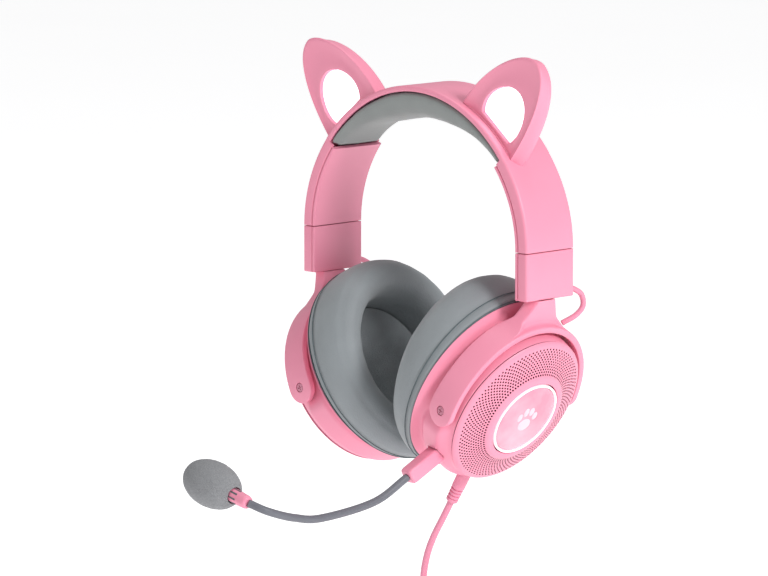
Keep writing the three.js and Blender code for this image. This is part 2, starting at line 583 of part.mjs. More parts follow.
// ---------- microphone ----------
// Frame of the boom's plug: its z runs out of the cup along the plug.
function mouthPlace() {
  const out = new THREE.Vector3().subVectors(at(BOOM_START), at(JACK)).normalize();
  const sideways = new THREE.Vector3().crossVectors(V(0, 0, 1), out).normalize();
  const upward = new THREE.Vector3().crossVectors(out, sideways);
  return new THREE.Matrix4().makeBasis(sideways, upward, out).setPosition(at(JACK));
}
function buildMicrophone(root) {
  const length = at(BOOM_START).distanceTo(at(JACK));
  const body = block(-4.2, -4.2, GAP, 4.2, 4.2, length).applyMatrix4(mouthPlace());
  const pin = cylinder(1.75, V(0, 0, -13.5), V(0, 0, 1), 14).applyMatrix4(mouthPlace());
  piece(root, "mic_plug", join(solid(body), solid(pin)), MATERIAL.pink);

  const towards = (from, to, distance) =>
    at(from).add(new THREE.Vector3().subVectors(at(to), at(from)).setLength(distance));
  const ball = (point) => solid(new THREE.SphereGeometry(BOOM_R + 0.05, 10, 6).translate(...point));
  const clear = BOOM_R + 0.45; // a straight end stays this far from the middle of a bend
  const start = towards(BOOM_START, BOOM_BEND_1, GAP);
  const before = towards(BOOM_BEND_1, BOOM_START, clear);
  const after = towards(BOOM_BEND_2, BOOM_END, clear);
  const end = towards(BOOM_END, BOOM_BEND_2, GAP + 2); // the collar is turned to the boom, so it needs room
  piece(root, "gooseneck_base", tube([start.toArray(), before.toArray()], BOOM_R, 2), MATERIAL.goose);
  const middle = solid(tube([BOOM_BEND_1, ...BOOM_MIDDLE, BOOM_BEND_2], BOOM_R, 14));
  piece(root, "gooseneck_middle", join(middle, ball(BOOM_BEND_1), ball(BOOM_BEND_2)), MATERIAL.goose);
  piece(root, "gooseneck_tip", tube([after.toArray(), end.toArray()], BOOM_R, 2), MATERIAL.goose);

  const collarLength = at(COLLAR_END).distanceTo(at(BOOM_END));
  piece(root, "mic_collar",
    turned([[0, 0], [0, 3.3], [1.2, 3.7], [collarLength, 3.9], [collarLength, 0]], at(BOOM_END), at(COLLAR_END)),
    MATERIAL.pink);
  const screenStart = towards(WINDSCREEN_CENTRE, COLLAR_END, WINDSCREEN_LENGTH / 2);
  const screenEnd = at(WINDSCREEN_CENTRE).multiplyScalar(2).sub(screenStart);
  const collarDepth = at(COLLAR_END).distanceTo(screenStart);
  piece(root, "mic_capsule",
    turned([[collarDepth + 0.8, 0], [collarDepth + 0.8, 3.4], [collarDepth + 8, 3.4], [collarDepth + 8, 0]],
      screenStart, screenEnd), MATERIAL.black);
  const profile = [[collarDepth + 9, 0], [collarDepth + 9, 4.4], [0.4, 4.4]];
  const steps = 12;
  for (let i = 2; i <= steps; i++) {
    const t = (Math.PI * i) / steps;
    const along = (WINDSCREEN_LENGTH / 2) * (1 - Math.cos(t));
    profile.push([along, i === steps ? 0 : WINDSCREEN_R * Math.sin(t) ** 0.8]);
  }
  piece(root, "windscreen", turned(profile, screenStart, screenEnd, 18), MATERIAL.foam);
}

// ---------- cable ----------
function buildCable(root) {
  const down = new THREE.Vector3().subVectors(at(RELIEF_END), at(RELIEF_TOP));
  const length = down.length();
  const relief = [[-3.6, 0], [-3.6, 3.75], [length * 0.5, 3.6], [length * 0.5, 3.1]];
  for (let i = 0; i < 3; i++) {
    const slot = length * 0.5 + 0.9 + i * 2.1;
    relief.push([slot, 3.1], [slot, 3.55 - i * 0.05], [slot + 1.2, 3.5 - i * 0.05], [slot + 1.2, 3]);
  }
  relief.push([length, 3], [length, 0]);
  piece(root, "strain_relief", turned(relief, at(RELIEF_TOP), at(RELIEF_END), 12), MATERIAL.pink);
  piece(root, "usb_cable", tube(CABLE_ROUTE, CABLE_R, 14), MATERIAL.pinkSoft);

  // The lead comes down the front outside turn and leaves down the rear outside turn.
  const [x, y, z] = CABLE_ROUTE.at(-1);
  const corner = 1.5 * TURN_PITCH;
  const outer = COIL_R + COIL_SECTION;
  const half = COIL_SECTION;
  const centre = V(x + COIL_R + corner, y + corner, z - COIL_DROP);
  const ring = [[-half, COIL_R - half], [-half, outer], [half, outer], [half, COIL_R - half], [-half, COIL_R - half]];
  piece(root, "cable_coil", turned(ring, centre, V(centre.x, centre.y + 1, centre.z), 32), MATERIAL.pinkSoft);
  const band = (grow, tall) => box(centre.x + COIL_R - half - grow, centre.y - half - grow, centre.z - tall,
    centre.x + outer + grow, centre.y + half + grow, centre.z + tall);
  piece(root, "coil_tie", cut(band(2.2, 4), band(1.2, 6)), MATERIAL.black);

  const tailY = centre.y + corner;
  const tailTop = centre.z - COIL_DROP;
  const tailEnd = tailTop - TAIL_LENGTH;
  piece(root, "usb_cable_tail",
    tube([[x, tailY, tailTop], [x, tailY, (tailTop + tailEnd) / 2], [x, tailY, tailEnd]], CABLE_R, 3),
    MATERIAL.pinkSoft);
  const [wide, deep, tall] = PLUG_BODY;
  const top = tailEnd - GAP;
  const centred = (w, d, high, low) => box(x - w / 2, tailY - d / 2, low, x + w / 2, tailY + d / 2, high);
  piece(root, "usb_plug_body", centred(wide, deep, top, top - tall), MATERIAL.pink);
  const [shellWide, shellDeep, shellTall] = PLUG_SHELL;
  const mouth = top - tall - GAP;
  const tongue = centred(shellWide - 1, 1.6, mouth - 1, mouth - shellTall + 1);
  const can = cut(centred(shellWide, shellDeep, mouth, mouth - shellTall),
    centred(shellWide - 0.8, shellDeep - 0.8, mouth - 0.8, mouth - shellTall - 1));
  piece(root, "usb_plug_shell", join(can, tongue, centred(4, 1.6, mouth - 0.4, mouth - 2)), MATERIAL.steel);
}

function buildSide(root, side) {
  const flip = new THREE.Group();
  flip.scale.x = side.mirror;
  root.add(flip);
  piece(flip, "arm_inner_cover_" + side.name, sweepBand(spread(0, PAD_END - 1, 8), coverSection), MATERIAL.pink);
  buildEar(flip, side);
  buildEndBlock(flip, side);

  const lean = YOKE_LEAN * DEG;
  const yoke = new THREE.Group();
  const out = SWIVEL_X - YOKE_REACH * Math.sin(lean);
  yoke.position.set(out, -CUP_FORWARD, SEAM_Z - BLOCK_HEIGHT - YOKE_REACH * Math.cos(lean));
  yoke.rotation.y = lean;
  flip.add(yoke);
  buildYoke(yoke, side);

  const cup = new THREE.Group();
  cup.rotation.y = (CUP_TILT - YOKE_LEAN) * DEG;
  yoke.add(cup);
  buildCup(cup, side);
}

const headset = new THREE.Group();
buildHeadband(headset);
for (const side of SIDES) buildSide(headset, side);
buildMicrophone(headset);
buildCable(headset);
export default headset;
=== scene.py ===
import json
import math

import bmesh
import bpy
from mathutils import Matrix, Vector, noise


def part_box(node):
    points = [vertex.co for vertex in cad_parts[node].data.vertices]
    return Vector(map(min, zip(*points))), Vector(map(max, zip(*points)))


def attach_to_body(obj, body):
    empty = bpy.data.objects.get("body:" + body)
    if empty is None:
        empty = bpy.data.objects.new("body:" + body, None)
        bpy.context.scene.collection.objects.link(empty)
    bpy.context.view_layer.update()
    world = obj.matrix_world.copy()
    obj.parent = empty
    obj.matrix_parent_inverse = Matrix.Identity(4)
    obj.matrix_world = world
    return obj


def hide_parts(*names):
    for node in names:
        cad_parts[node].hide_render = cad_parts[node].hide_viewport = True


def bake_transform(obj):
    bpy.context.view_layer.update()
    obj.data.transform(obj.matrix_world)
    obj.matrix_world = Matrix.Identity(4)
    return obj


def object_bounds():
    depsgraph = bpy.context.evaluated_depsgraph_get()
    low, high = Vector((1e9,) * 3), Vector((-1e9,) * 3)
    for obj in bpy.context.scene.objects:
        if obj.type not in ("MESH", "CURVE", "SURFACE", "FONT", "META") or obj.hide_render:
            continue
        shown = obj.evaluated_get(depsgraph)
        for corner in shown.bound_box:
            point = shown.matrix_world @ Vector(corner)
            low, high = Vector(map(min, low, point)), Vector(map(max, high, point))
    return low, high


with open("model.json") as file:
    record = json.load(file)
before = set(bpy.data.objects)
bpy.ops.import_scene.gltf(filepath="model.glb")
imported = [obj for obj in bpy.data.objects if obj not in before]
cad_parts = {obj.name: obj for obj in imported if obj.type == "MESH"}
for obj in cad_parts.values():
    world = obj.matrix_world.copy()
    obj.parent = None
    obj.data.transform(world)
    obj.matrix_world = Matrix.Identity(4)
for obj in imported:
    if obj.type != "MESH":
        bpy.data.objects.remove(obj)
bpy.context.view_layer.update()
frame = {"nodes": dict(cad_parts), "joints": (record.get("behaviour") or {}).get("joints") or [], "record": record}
MM = 0.001
JOINTS = {joint["name"]: joint for joint in frame["joints"]}

# ---------- driving dimensions, in millimetres ----------
SEAM_Z, BAND_R, BAND_RISE, BAND_FLATTEN = -63.5, 85, 83, 0.012
BAND_HALF_WIDTH, ARM_THICKNESS, SHELL_WALL, PAD_END, PAD_LIP_R = 18.4, 9, 1.6, 37, 81.7
COVER_THICKNESS, GAP = 1.9, 0.3
EAR_ANGLE = 50.3
# an ear's front, widest and back sections: y, reach outward, reach inward, height
EAR_LAYERS = [(-13.6, 21, 24.6, 50.5), (-7, 24.8, 25, 48.5), (-1.5, 21, 22, 43)]
BLOCK_HEIGHT, SEAM_GAP = 26, 0.5
YOKE_LEAN, CUP_TILT = 25.4, 29.2
YOKE_INNER_R, YOKE_OUTER_R, YOKE_RATIO, YOKE_END_R = 47, 50.6, 0.975, 8.4
YOKE_FRONT, YOKE_BACK, NECK_HALF_WIDTH, NECK_RISE = 8.5, 7.3, 4, 15.5
BORE_R, SWIVEL_HEAD_BORE_R, PIVOT_HEAD_BORE_R = 1.7, 2.45, 2.7
DISC_X, CUP_RATIO, FLARE_R, CUSHION_RATIO = 9.3, 0.96, 49.8, 0.925
BOSS_START, BOSS_R = 42.6, 5.4
CUSHION_BACK, CUSHION_WEDGE = -16.6, 0.3
EMBLEM_R, RING_R, EMBLEM_RATIO = 20.5, 22.2, 0.97
WHEEL_ANGLE, WHEEL_R, WHEEL_CENTRE, BUTTON_ANGLE, BUTTON_R = 38, 9, 41.5, 64, 3.2
CABLE_R, CABLE_LENGTH = 1.85, 2000
COIL_R, COIL_DROP, TURN_PITCH, TAIL_LENGTH = 21, 15.6, 3.78, 14.4
JACK, BOOM_START = (39, -39, -173), (37, -59.6, -184)
BOOM_BEND_1, BOOM_BEND_2 = (34.3, -82, -194.9), (35, -159.7, -189.6)
BOOM_MIDDLE = [(34.3, -120.3, -198.3), (35.2, -141.2, -195.3)]
BOOM_END, COLLAR_END = (26.8, -166.6, -185.2), (12.1, -165.6, -182.2)
WINDSCREEN_CENTRE, WINDSCREEN_LENGTH, WINDSCREEN_R = (-2.5, -164.6, -179.3), 38, 12.3
BOOM_R, WIRE_R = 2.1, 1.5
RELIEF_TOP, RELIEF_END = (30.4, -8.7, -189), (21.2, -9.6, -205.3)
CABLE_ROUTE = [
    (21, -9.65, -205.7), (15.5, -10.3, -215.5), (9.7, -11, -225.5), (5.5, -11.6, -235),
    (3.2, -12, -244), (2.2, -12, -251), (2, -12, -258), (2, -12, -269.4),
]
WIRE_ROUTE = [
    (80, 19.2, -85.5), (80, 24, -87), (80, 29.5, -90.5), (79.8, 31, -96.5), (78, 27.5, -101.5),
    (74.1, 20.7, -105.6),
]
SIDES = (("left", 1), ("right", -1))
MIRROR = dict(SIDES)
ENDS = (("front", -1), ("rear", 1))


# ---------- materials ----------
def material(name, color, roughness, second=None, grain=None, cells=None, mottle=(60, 0.0), **inputs):
    """A Principled finish: colour mottled between two shades, with fine grain and cells as bump."""
    made = bpy.data.materials.new(name)
    made.use_nodes = True
    tree = made.node_tree
    shader = tree.nodes["Principled BSDF"]
    shader.inputs["Roughness"].default_value = roughness
    for key, value in inputs.items():
        shader.inputs[key.replace("_", " ")].default_value = value
    place = tree.nodes.new("ShaderNodeTexCoord")
    cloud = tree.nodes.new("ShaderNodeTexNoise")
    cloud.inputs["Scale"].default_value = mottle[0]
    cloud.inputs["Detail"].default_value = 4
    tree.links.new(place.outputs["Object"], cloud.inputs["Vector"])
    ramp = tree.nodes.new("ShaderNodeValToRGB")
    ramp.color_ramp.elements[0].position, ramp.color_ramp.elements[1].position = 0.35, 0.65
    ramp.color_ramp.elements[0].color = (*(second or [c * (1 - mottle[1]) for c in color]), 1)
    ramp.color_ramp.elements[1].color = (*color, 1)
    tree.links.new(cloud.outputs["Fac"], ramp.inputs["Fac"])
    tree.links.new(ramp.outputs["Color"], shader.inputs["Base Color"])
    height = None
    for kind, setting in (("ShaderNodeTexNoise", grain), ("ShaderNodeTexVoronoi", cells)):
        if not setting:
            continue
        scale, strength, distance = setting
        texture = tree.nodes.new(kind)
        texture.inputs["Scale"].default_value = scale
        tree.links.new(place.outputs["Object"], texture.inputs["Vector"])
        bump = tree.nodes.new("ShaderNodeBump")
        bump.inputs["Strength"].default_value = strength
        bump.inputs["Distance"].default_value = distance
        tree.links.new(texture.outputs[0], bump.inputs["Height"])
        if height:
            tree.links.new(height, bump.inputs["Normal"])
        height = bump.outputs["Normal"]
    if height:
        tree.links.new(height, shader.inputs["Normal"])
    return made


PINK = (0.84, 0.285, 0.405)
FINISH = {
    "pink_plastic": material("pink_plastic", PINK, 0.42, grain=(5200, 0.05, 0.0002), mottle=(35, 0.02)),
    "pink_cable": material(
        "pink_cable", (0.78, 0.27, 0.39), 0.55, grain=(2600, 0.12, 0.0002), mottle=(90, 0.06)),
    "emblem_plastic": material(
        "emblem_plastic", (0.88, 0.42, 0.51), 0.22, second=(0.74, 0.20, 0.30), mottle=(32, 0),
        Coat_Weight=0.6, Coat_Roughness=0.08, Emission_Color=(1, 0.55, 0.68, 1), Emission_Strength=0.05),
    "light_guide": material(
        "light_guide", (1, 0.97, 0.98), 0.3, mottle=(50, 0.01), Emission_Color=(1, 0.97, 0.985, 1),
        Emission_Strength=1.1),
    "headband_fabric": material(
        "headband_fabric", (0.24, 0.258, 0.252), 0.72, grain=(900, 0.25, 0.0004),
        cells=(1900, 0.22, 0.0003), mottle=(70, 0.07), Sheen_Weight=0.25),
    "cushion_leatherette": material(
        "cushion_leatherette", (0.25, 0.274, 0.288), 0.62, grain=(700, 0.22, 0.0005),
        cells=(1500, 0.25, 0.0003), mottle=(55, 0.06), Sheen_Weight=0.2),
    "scrim_fabric": material(
        "scrim_fabric", (0.30, 0.33, 0.345), 0.9, cells=(2300, 0.7, 0.0005), mottle=(120, 0.1)),
    "foam": material(
        "foam", (0.31, 0.316, 0.33), 0.95, grain=(2600, 0.6, 0.0007), cells=(2100, 0.5, 0.0006),
        mottle=(1700, 0.22)),
    "gooseneck_sleeve": material(
        "gooseneck_sleeve", (0.14, 0.145, 0.17), 0.5, grain=(2300, 0.2, 0.0003), mottle=(200, 0.08)),
    "black_plastic": material(
        "black_plastic", (0.03, 0.03, 0.034), 0.5, grain=(3000, 0.2, 0.0003), mottle=(80, 0.2)),
    "circuit_board": material(
        "circuit_board", (0.02, 0.12, 0.05), 0.4, second=(0.03, 0.18, 0.08), mottle=(500, 0)),
    "steel": material(
        "steel", (0.62, 0.62, 0.64), 0.32, grain=(4000, 0.15, 0.0002), mottle=(120, 0.08), Metallic=1.0),
}
SEAM = material("seam_line", (0.10, 0.13, 0.14), 0.8, grain=(3000, 0.3, 0.0003), mottle=(300, 0.2))
# painted shade: a near-black plum for the grille's hole walls, the ring in the gap round its rim and the sheet
# under its holes
PAINTED_SHADE = material("grille_shadow", (0.05, 0.005, 0.015), 0.95, mottle=(200, 0.2), Specular_IOR_Level=0.1)
PEARL = material("badge_pearl", (0.93, 0.60, 0.68), 0.3, mottle=(80, 0.05))
RING_GLOW = material(
    "ring_glow", (1, 0.80, 0.86), 0.35, mottle=(60, 0.03), Emission_Color=(1, 0.72, 0.80, 1),
    Emission_Strength=0.35)
# a shaded copy of the pink plastic: the pivot screws' darker pink, and painted shade in the band's shallow slots
PINK_SHADE = material("pink_screw_and_slot_shade", (0.60, 0.22, 0.31), 0.4, grain=(2500, 0.2, 0.0002), mottle=(300, 0.1))


# ---------- mesh helpers; shapes are given in millimetres ----------
def add_object(name, data):
    made = bpy.data.objects.new(name, data)
    bpy.context.scene.collection.objects.link(made)
    return made


def make(name, verts, faces, finish, body, nodes=(), place=None, mirror=1, sharp=35):
    """A closed smooth-shaded piece that rides on its body and stands for its CAD nodes."""
    mesh = bpy.data.meshes.new(name)
    place = place or Matrix.Identity(4)
    world = [place @ Vector(v) for v in verts]
    mesh.from_pydata([(p.x * mirror * MM, p.y * MM, p.z * MM) for p in world], [], faces)
    made = add_object(name, mesh)
    work = bmesh.new()
    work.from_mesh(mesh)
    bmesh.ops.remove_doubles(work, verts=work.verts, dist=1e-6)
    bmesh.ops.recalc_face_normals(work, faces=work.faces)
    work.to_mesh(mesh)
    work.free()
    mesh.materials.append(finish if isinstance(finish, bpy.types.Material) else FINISH[finish])
    shade(made, sharp)
    if body:
        attach(made, body, nodes)
    return made


def attach(made, body, nodes=()):
    """Sets the body a piece moves with and the CAD nodes it stands for."""
    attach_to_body(made, body)
    if nodes:
        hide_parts(*nodes)


def settle(made):
    """Makes the modifiers part of the mesh."""
    graph = bpy.context.evaluated_depsgraph_get()
    mesh = bpy.data.meshes.new_from_object(made.evaluated_get(graph))
    made.modifiers.clear()
    made.data = mesh


def shade(made, sharp=35):
    """Smooth faces, with a crease along every edge that turns by sharp degrees or more."""
    work = bmesh.new()
    work.from_mesh(made.data)
    for face in work.faces:
        face.smooth = True
    for edge in work.edges:
        edge.smooth = len(edge.link_faces) != 2 or edge.calc_face_angle(0) < math.radians(sharp)
    work.to_mesh(made.data)
    work.free()


def carve(made, *cutters):
    """Cuts the cutters, which are then dropped, out of the piece."""
    for cutter in cutters:
        cut = made.modifiers.new("cut", "BOOLEAN")
        cut.operation, cut.object, cut.solver = "DIFFERENCE", cutter, "EXACT"
        settle(made)
        bpy.data.objects.remove(cutter)
    shade(made)


def skin(rings, around=True, loop=False):
    """Quads between rings of equal counts, closed at both ends unless the rings form a loop."""
    count = len(rings[0])
    verts = [p for ring in rings for p in ring]
    faces = []
    rows = len(rings) if loop else len(rings) - 1
    for i in range(rows):
        for j in range(count if around else count - 1):
            k = (j + 1) % count
            n = (i + 1) % len(rings)
            faces.append((i * count + j, i * count + k, n * count + k, n * count + j))
    if not loop:
        faces.append(tuple(range(count)))
        faces.append(tuple(range(len(verts) - count, len(verts))))
    return verts, faces


def circle(count):
    """Angles evenly spaced around a full turn."""
    return [2 * math.pi * i / count for i in range(count)]


def revolve(profile, ratio, segments, shape=None):
    """Turns [x, radius] pairs about the x axis, narrowed in y; shape may move each point."""
    rings = []
    for a in circle(segments):
        ring = [(x, r * ratio * math.cos(a), r * math.sin(a)) for x, r in profile]
        rings.append([shape(*p) if shape else p for p in ring])
    return skin(rings, around=False, loop=True)


def rounded(profile, radius=0.5, steps=3, closed=True):
    """A profile with its corners rounded by short quadratic curves."""
    points = []
    count = len(profile)
    for i in range(count):
        here = Vector(profile[i])
        if not closed and i in (0, count - 1):
            points.append(tuple(here))
            continue
        before, after = Vector(profile[i - 1]), Vector(profile[(i + 1) % count])
        wanted = radius[i] if isinstance(radius, (list, tuple)) else radius
        reach = min(wanted, (before - here).length / 2.2, (after - here).length / 2.2)
        if reach < 1e-4:
            points.append(tuple(here))
            continue
        start = here + (before - here).normalized() * reach
        end = here + (after - here).normalized() * reach
        for k in range(steps + 1):
            t = k / steps
            points.append(tuple(start * (1 - t) ** 2 + here * 2 * t * (1 - t) + end * t * t))
    return points


def brick(x0, y0, z0, x1, y1, z1):
    return skin([[(x0, y0, z), (x1, y0, z), (x1, y1, z), (x0, y1, z)] for z in (z0, z1)])


def cylinder(radius, start, end, segments=32):
    """A plain closed rod from start to end."""
    axis = Vector(end) - Vector(start)
    side = axis.orthogonal().normalized()
    other = axis.normalized().cross(side)
    return skin([[Vector(p) + (side * math.cos(a) + other * math.sin(a)) * radius for a in circle(segments)]
                 for p in (start, end)])


def tool(shape, place=None, mirror=1):
    """A shape that carve() will cut with."""
    return make("tool", *shape, PAINTED_SHADE, None, place=place, mirror=mirror)


def axes(start, end):
    """The direction from start to end, and two directions square to it."""
    axis = (Vector(end) - Vector(start)).normalized()
    side = axis.orthogonal().normalized()
    return axis, side, axis.cross(side)


def turned(profile, start, end, segments=40):
    """Turns [along, radius] pairs about the line from start to end."""
    axis, side, other = axes(start, end)
    rings = []
    for a in circle(segments):
        out = side * math.cos(a) + other * math.sin(a)
        rings.append([Vector(start) + axis * along + out * r for along, r in profile])
    return skin(rings, around=False, loop=True)


def smooth_path(points, step):
    """Points a step apart along a Catmull-Rom curve through the given ones."""
    p = [Vector(q) for q in points]
    p = [p[0] * 2 - p[1], *p, p[-1] * 2 - p[-2]]
    fine = []
    for i in range(1, len(p) - 2):
        for k in range(24):
            t = k / 24
            a, b, c, d = p[i - 1], p[i], p[i + 1], p[i + 2]
            fine.append(0.5 * (2 * b + (c - a) * t + (2 * a - 5 * b + 4 * c - d) * t ** 2
                               + (3 * b - a - 3 * c + d) * t ** 3))
    fine.append(p[-2])
    out, left = [fine[0]], step
    for a, b in zip(fine, fine[1:]):
        span = (b - a).length
        while span >= left and span > 0:
            a = a + (b - a) * (left / span)
            out.append(a)
            span -= left
            left = step
        left -= span
    if (out[-1] - fine[-1]).length < step * 0.5:
        out[-1] = fine[-1]
    else:
        out.append(fine[-1])
    return out


def pipe(points, radius, sides):
    """A tube along the points."""
    rings = []
    tangent = (points[1] - points[0]).normalized()
    side = tangent.orthogonal().normalized()
    for i, p in enumerate(points):
        ahead = points[min(i + 1, len(points) - 1)] - points[max(i - 1, 0)]
        tangent = ahead.normalized()
        side = (side - tangent * side.dot(tangent)).normalized()
        other = tangent.cross(side)
        rings.append([p + (side * math.cos(a) + other * math.sin(a)) * radius for a in circle(sides)])
    return skin(rings)


def ease(low, high, value):
    """0 at low, 1 at high, and a smooth change between."""
    t = min(1, max(0, (value - low) / (high - low)))
    return t * t * (3 - 2 * t)


def mix(a, b, t):
    return a + (b - a) * t


# ---------- camera ----------
CAMERA_DISTANCE, SENSOR_WIDTH, FOCAL_LENGTH = 2.735, 36, 237.1875
AZIMUTH, ELEVATION = math.radians(45), math.radians(8.19)
CAMERA_SIDE, CAMERA_UP = -0.0284, -0.09115  # what the view's middle looks at, from the crown seat


def camera():
    back = Vector((math.sin(AZIMUTH) * math.cos(ELEVATION), -math.cos(AZIMUTH) * math.cos(ELEVATION),
                   math.sin(ELEVATION)))
    right = Vector((math.cos(AZIMUTH), math.sin(AZIMUTH), 0))
    up = back.cross(right)
    data = bpy.data.cameras.new("camera")
    data.sensor_width, data.lens = SENSOR_WIDTH, FOCAL_LENGTH
    data.clip_end = 100
    made = add_object("camera", data)
    made.matrix_world = Matrix.Translation(back * CAMERA_DISTANCE + right * CAMERA_SIDE + up * CAMERA_UP) @ (
        Matrix((right, up, back)).transposed().to_4x4())
    bpy.context.scene.camera = made


camera()


# ---------- cable, coil and plug ----------
STEPS_PER_TURN = 48
STRAP_THICKNESS, STRAP_HALF_WIDTH = 1.0, 3.8
RELIEF_SLOTS, RELIEF_SLOT_PITCH = 4, 2.05


def cable_path():
    """The lead, fourteen wound turns and the tail, as one line."""
    x, y, z = CABLE_ROUTE[-1]
    corner = 1.5 * TURN_PITCH
    centre = Vector((x + COIL_R + corner, y + corner, z - COIL_DROP))
    path = smooth_path([RELIEF_END, *CABLE_ROUTE, (x, y, centre.z)], 4)[:-1]
    outer, inner = 3, 0
    layers = [outer, 2, 1, inner, inner, 1, 2, outer, outer, 2, 1, 1, 2, outer]
    columns = [0, 0, 0, 0, 1, 1, 1, 1, 2, 2, 2, 3, 3, 3]
    slots = [(COIL_R + TURN_PITCH * (layer - 1.5), TURN_PITCH * (column - 1.5))
             for layer, column in zip(layers, columns)]
    for i, (r, side) in enumerate(slots):
        next_r, next_side = slots[min(i + 1, len(slots) - 1)]
        for k in range(STEPS_PER_TURN):
            change = ease(0.84, 1, k / STEPS_PER_TURN)
            a = math.pi * (1 + 2 * k / STEPS_PER_TURN)
            wide = mix(r, next_r, change)
            across = mix(side, next_side, change)
            path.append(centre + Vector((wide * math.cos(a), across, wide * math.sin(a))))
    for k in range(8):
        path.append(Vector((x, centre.y + corner, centre.z - (COIL_DROP + TAIL_LENGTH) * k / 7)))
    return path


def build_cable():
    path = cable_path()
    curve = bpy.data.curves.new("usb_cable_line", "CURVE")
    curve.dimensions = "3D"
    curve.bevel_depth, curve.bevel_resolution, curve.use_fill_caps = CABLE_R * MM, 5, True
    spline = curve.splines.new("POLY")
    spline.points.add(len(path) - 1)
    for point, p in zip(spline.points, path):
        point.co = (p.x * MM, p.y * MM, p.z * MM, 1)
    lead = add_object("usb_lead", curve)
    curve.materials.append(FINISH["pink_cable"])
    attach(lead, "cup_left", ("usb_cable", "cable_coil", "usb_cable_tail"))

    lo, hi = (Vector(c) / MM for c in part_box("coil_tie"))
    strap = rounded([(lo.x, lo.y), (hi.x, lo.y), (hi.x, hi.y), (lo.x, hi.y)], 3, 5)
    middle = (lo + hi) / 2
    thick, half = STRAP_THICKNESS, STRAP_HALF_WIDTH
    section = rounded([(0, -half), (thick, -half), (thick, half), (0, half)], 0.4, 2)
    rings = []
    for px, py in strap:
        inward = Vector((middle.x - px, middle.y - py, 0)).normalized()
        rings.append([Vector((px, py, middle.z + w)) + inward * t for t, w in section])
    tie = make("coil_tie_strap", *skin(rings, loop=True), "black_plastic", "cup_left", ("coil_tie",))

    lo, hi = (Vector(c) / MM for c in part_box("usb_plug_body"))
    x, y = (lo.x + hi.x) / 2, (lo.y + hi.y) / 2
    outline = rounded([(-1, -1), (1, -1), (1, 1), (-1, 1)], 0.5, 6)
    rings = []
    for share, grow in ((0, 0.90), (0.02, 0.97), (0.06, 1), (0.62, 1), (0.68, 0.96), (0.72, 0.9),
                        (0.78, 0.72), (0.9, 0.5), (0.97, 0.42), (1, 0.36)):
        z = mix(lo.z, hi.z, share)
        deep = max(grow, 0.55)
        rings.append([(x + px * (hi.x - x) * grow, y + py * (hi.y - y) * deep, z) for px, py in outline])
    body = make("usb_plug_grip", *skin(rings), "pink_plastic", "cup_left", ("usb_plug_body",))


def build_strain_relief():
    length = (Vector(RELIEF_END) - Vector(RELIEF_TOP)).length
    profile = [(-3.6, 0), (-3.6, 3.7), (length * 0.5, 3.55)]
    for i in range(RELIEF_SLOTS):
        slot = length * 0.5 + 0.5 + i * RELIEF_SLOT_PITCH
        profile += [(slot, 3.5 - i * 0.06), (slot + 0.12, 2.7), (slot + 0.72, 2.7),
                    (slot + 0.84, 3.47 - i * 0.06)]
    profile += [(length - 0.5, 3.3), (length, 3.0), (length, 0)]
    make("cable_strain_relief", *turned(rounded(profile, 0.25, 2, closed=False), RELIEF_TOP, RELIEF_END, 48),
         "pink_cable", "cup_left", ("strain_relief",), sharp=50)


build_cable()
build_strain_relief()


# ---------- soft pieces ----------
CLOTH_STEPS, CLOTH_QUALITY, CLOTH_STIFFNESS, CLOTH_BENDING = 16, 4, 25, 4


def puff(made, pressure, cap, voxel=None, held=lambda p: 1):
    """Lets a pad swell under cloth simulation, no point moving further than cap, then smooths it."""
    if voxel:
        remesh = made.modifiers.new("voxels", "REMESH")
        remesh.mode, remesh.voxel_size = "VOXEL", voxel * MM
        settle(made)
    start = [v.co.copy() for v in made.data.vertices]
    cloth = made.modifiers.new("cloth", "CLOTH")
    cloth.settings.use_pressure = True
    cloth.settings.uniform_pressure_force = pressure
    cloth.settings.effector_weights.gravity = 0
    cloth.settings.quality = CLOTH_QUALITY
    cloth.settings.tension_stiffness = cloth.settings.compression_stiffness = CLOTH_STIFFNESS
    cloth.settings.bending_stiffness = CLOTH_BENDING
    scene = bpy.context.scene
    for step in range(1, CLOTH_STEPS + 1):
        scene.frame_set(step)
    settle(made)
    scene.frame_set(1)
    for v, old in zip(made.data.vertices, start):
        move = v.co - old
        v.co = old + move * min(1, cap * MM / max(move.length, 1e-9)) * held(old / MM)
    relax = made.modifiers.new("relax", "SMOOTH")
    relax.factor, relax.iterations = 0.5, 4
    fine = made.modifiers.new("fine", "SUBSURF")
    fine.levels = fine.render_levels = 1
    settle(made)


def wrinkle(made, height, scale, seed):
    """Small soft creases pressed along the surface normals."""
    mesh = made.data
    normals = [v.normal.copy() for v in mesh.vertices]
    for v, n in zip(mesh.vertices, normals):
        p = v.co / MM * scale + Vector((seed, 0, 0))
        v.co += n * (noise.noise(p) * height * MM)


# ---------- headband ----------
def band_point(angle, drop, y):
    """A point of the band's arch, so far under its outer face; 90 degrees is the crown."""
    a = math.radians(angle)
    r = (BAND_R - drop) * (1 - BAND_FLATTEN * math.sin(2 * a) ** 2)
    return (r * math.cos(a), y, SEAM_Z + r * math.sin(a) * BAND_RISE / BAND_R)


def sweep_band(angles, section):
    return skin([[band_point(a, drop, y) for y, drop in section(a)] for a in angles])


def spread(start, end, steps):
    return [mix(start, end, i / steps) for i in range(steps + 1)]


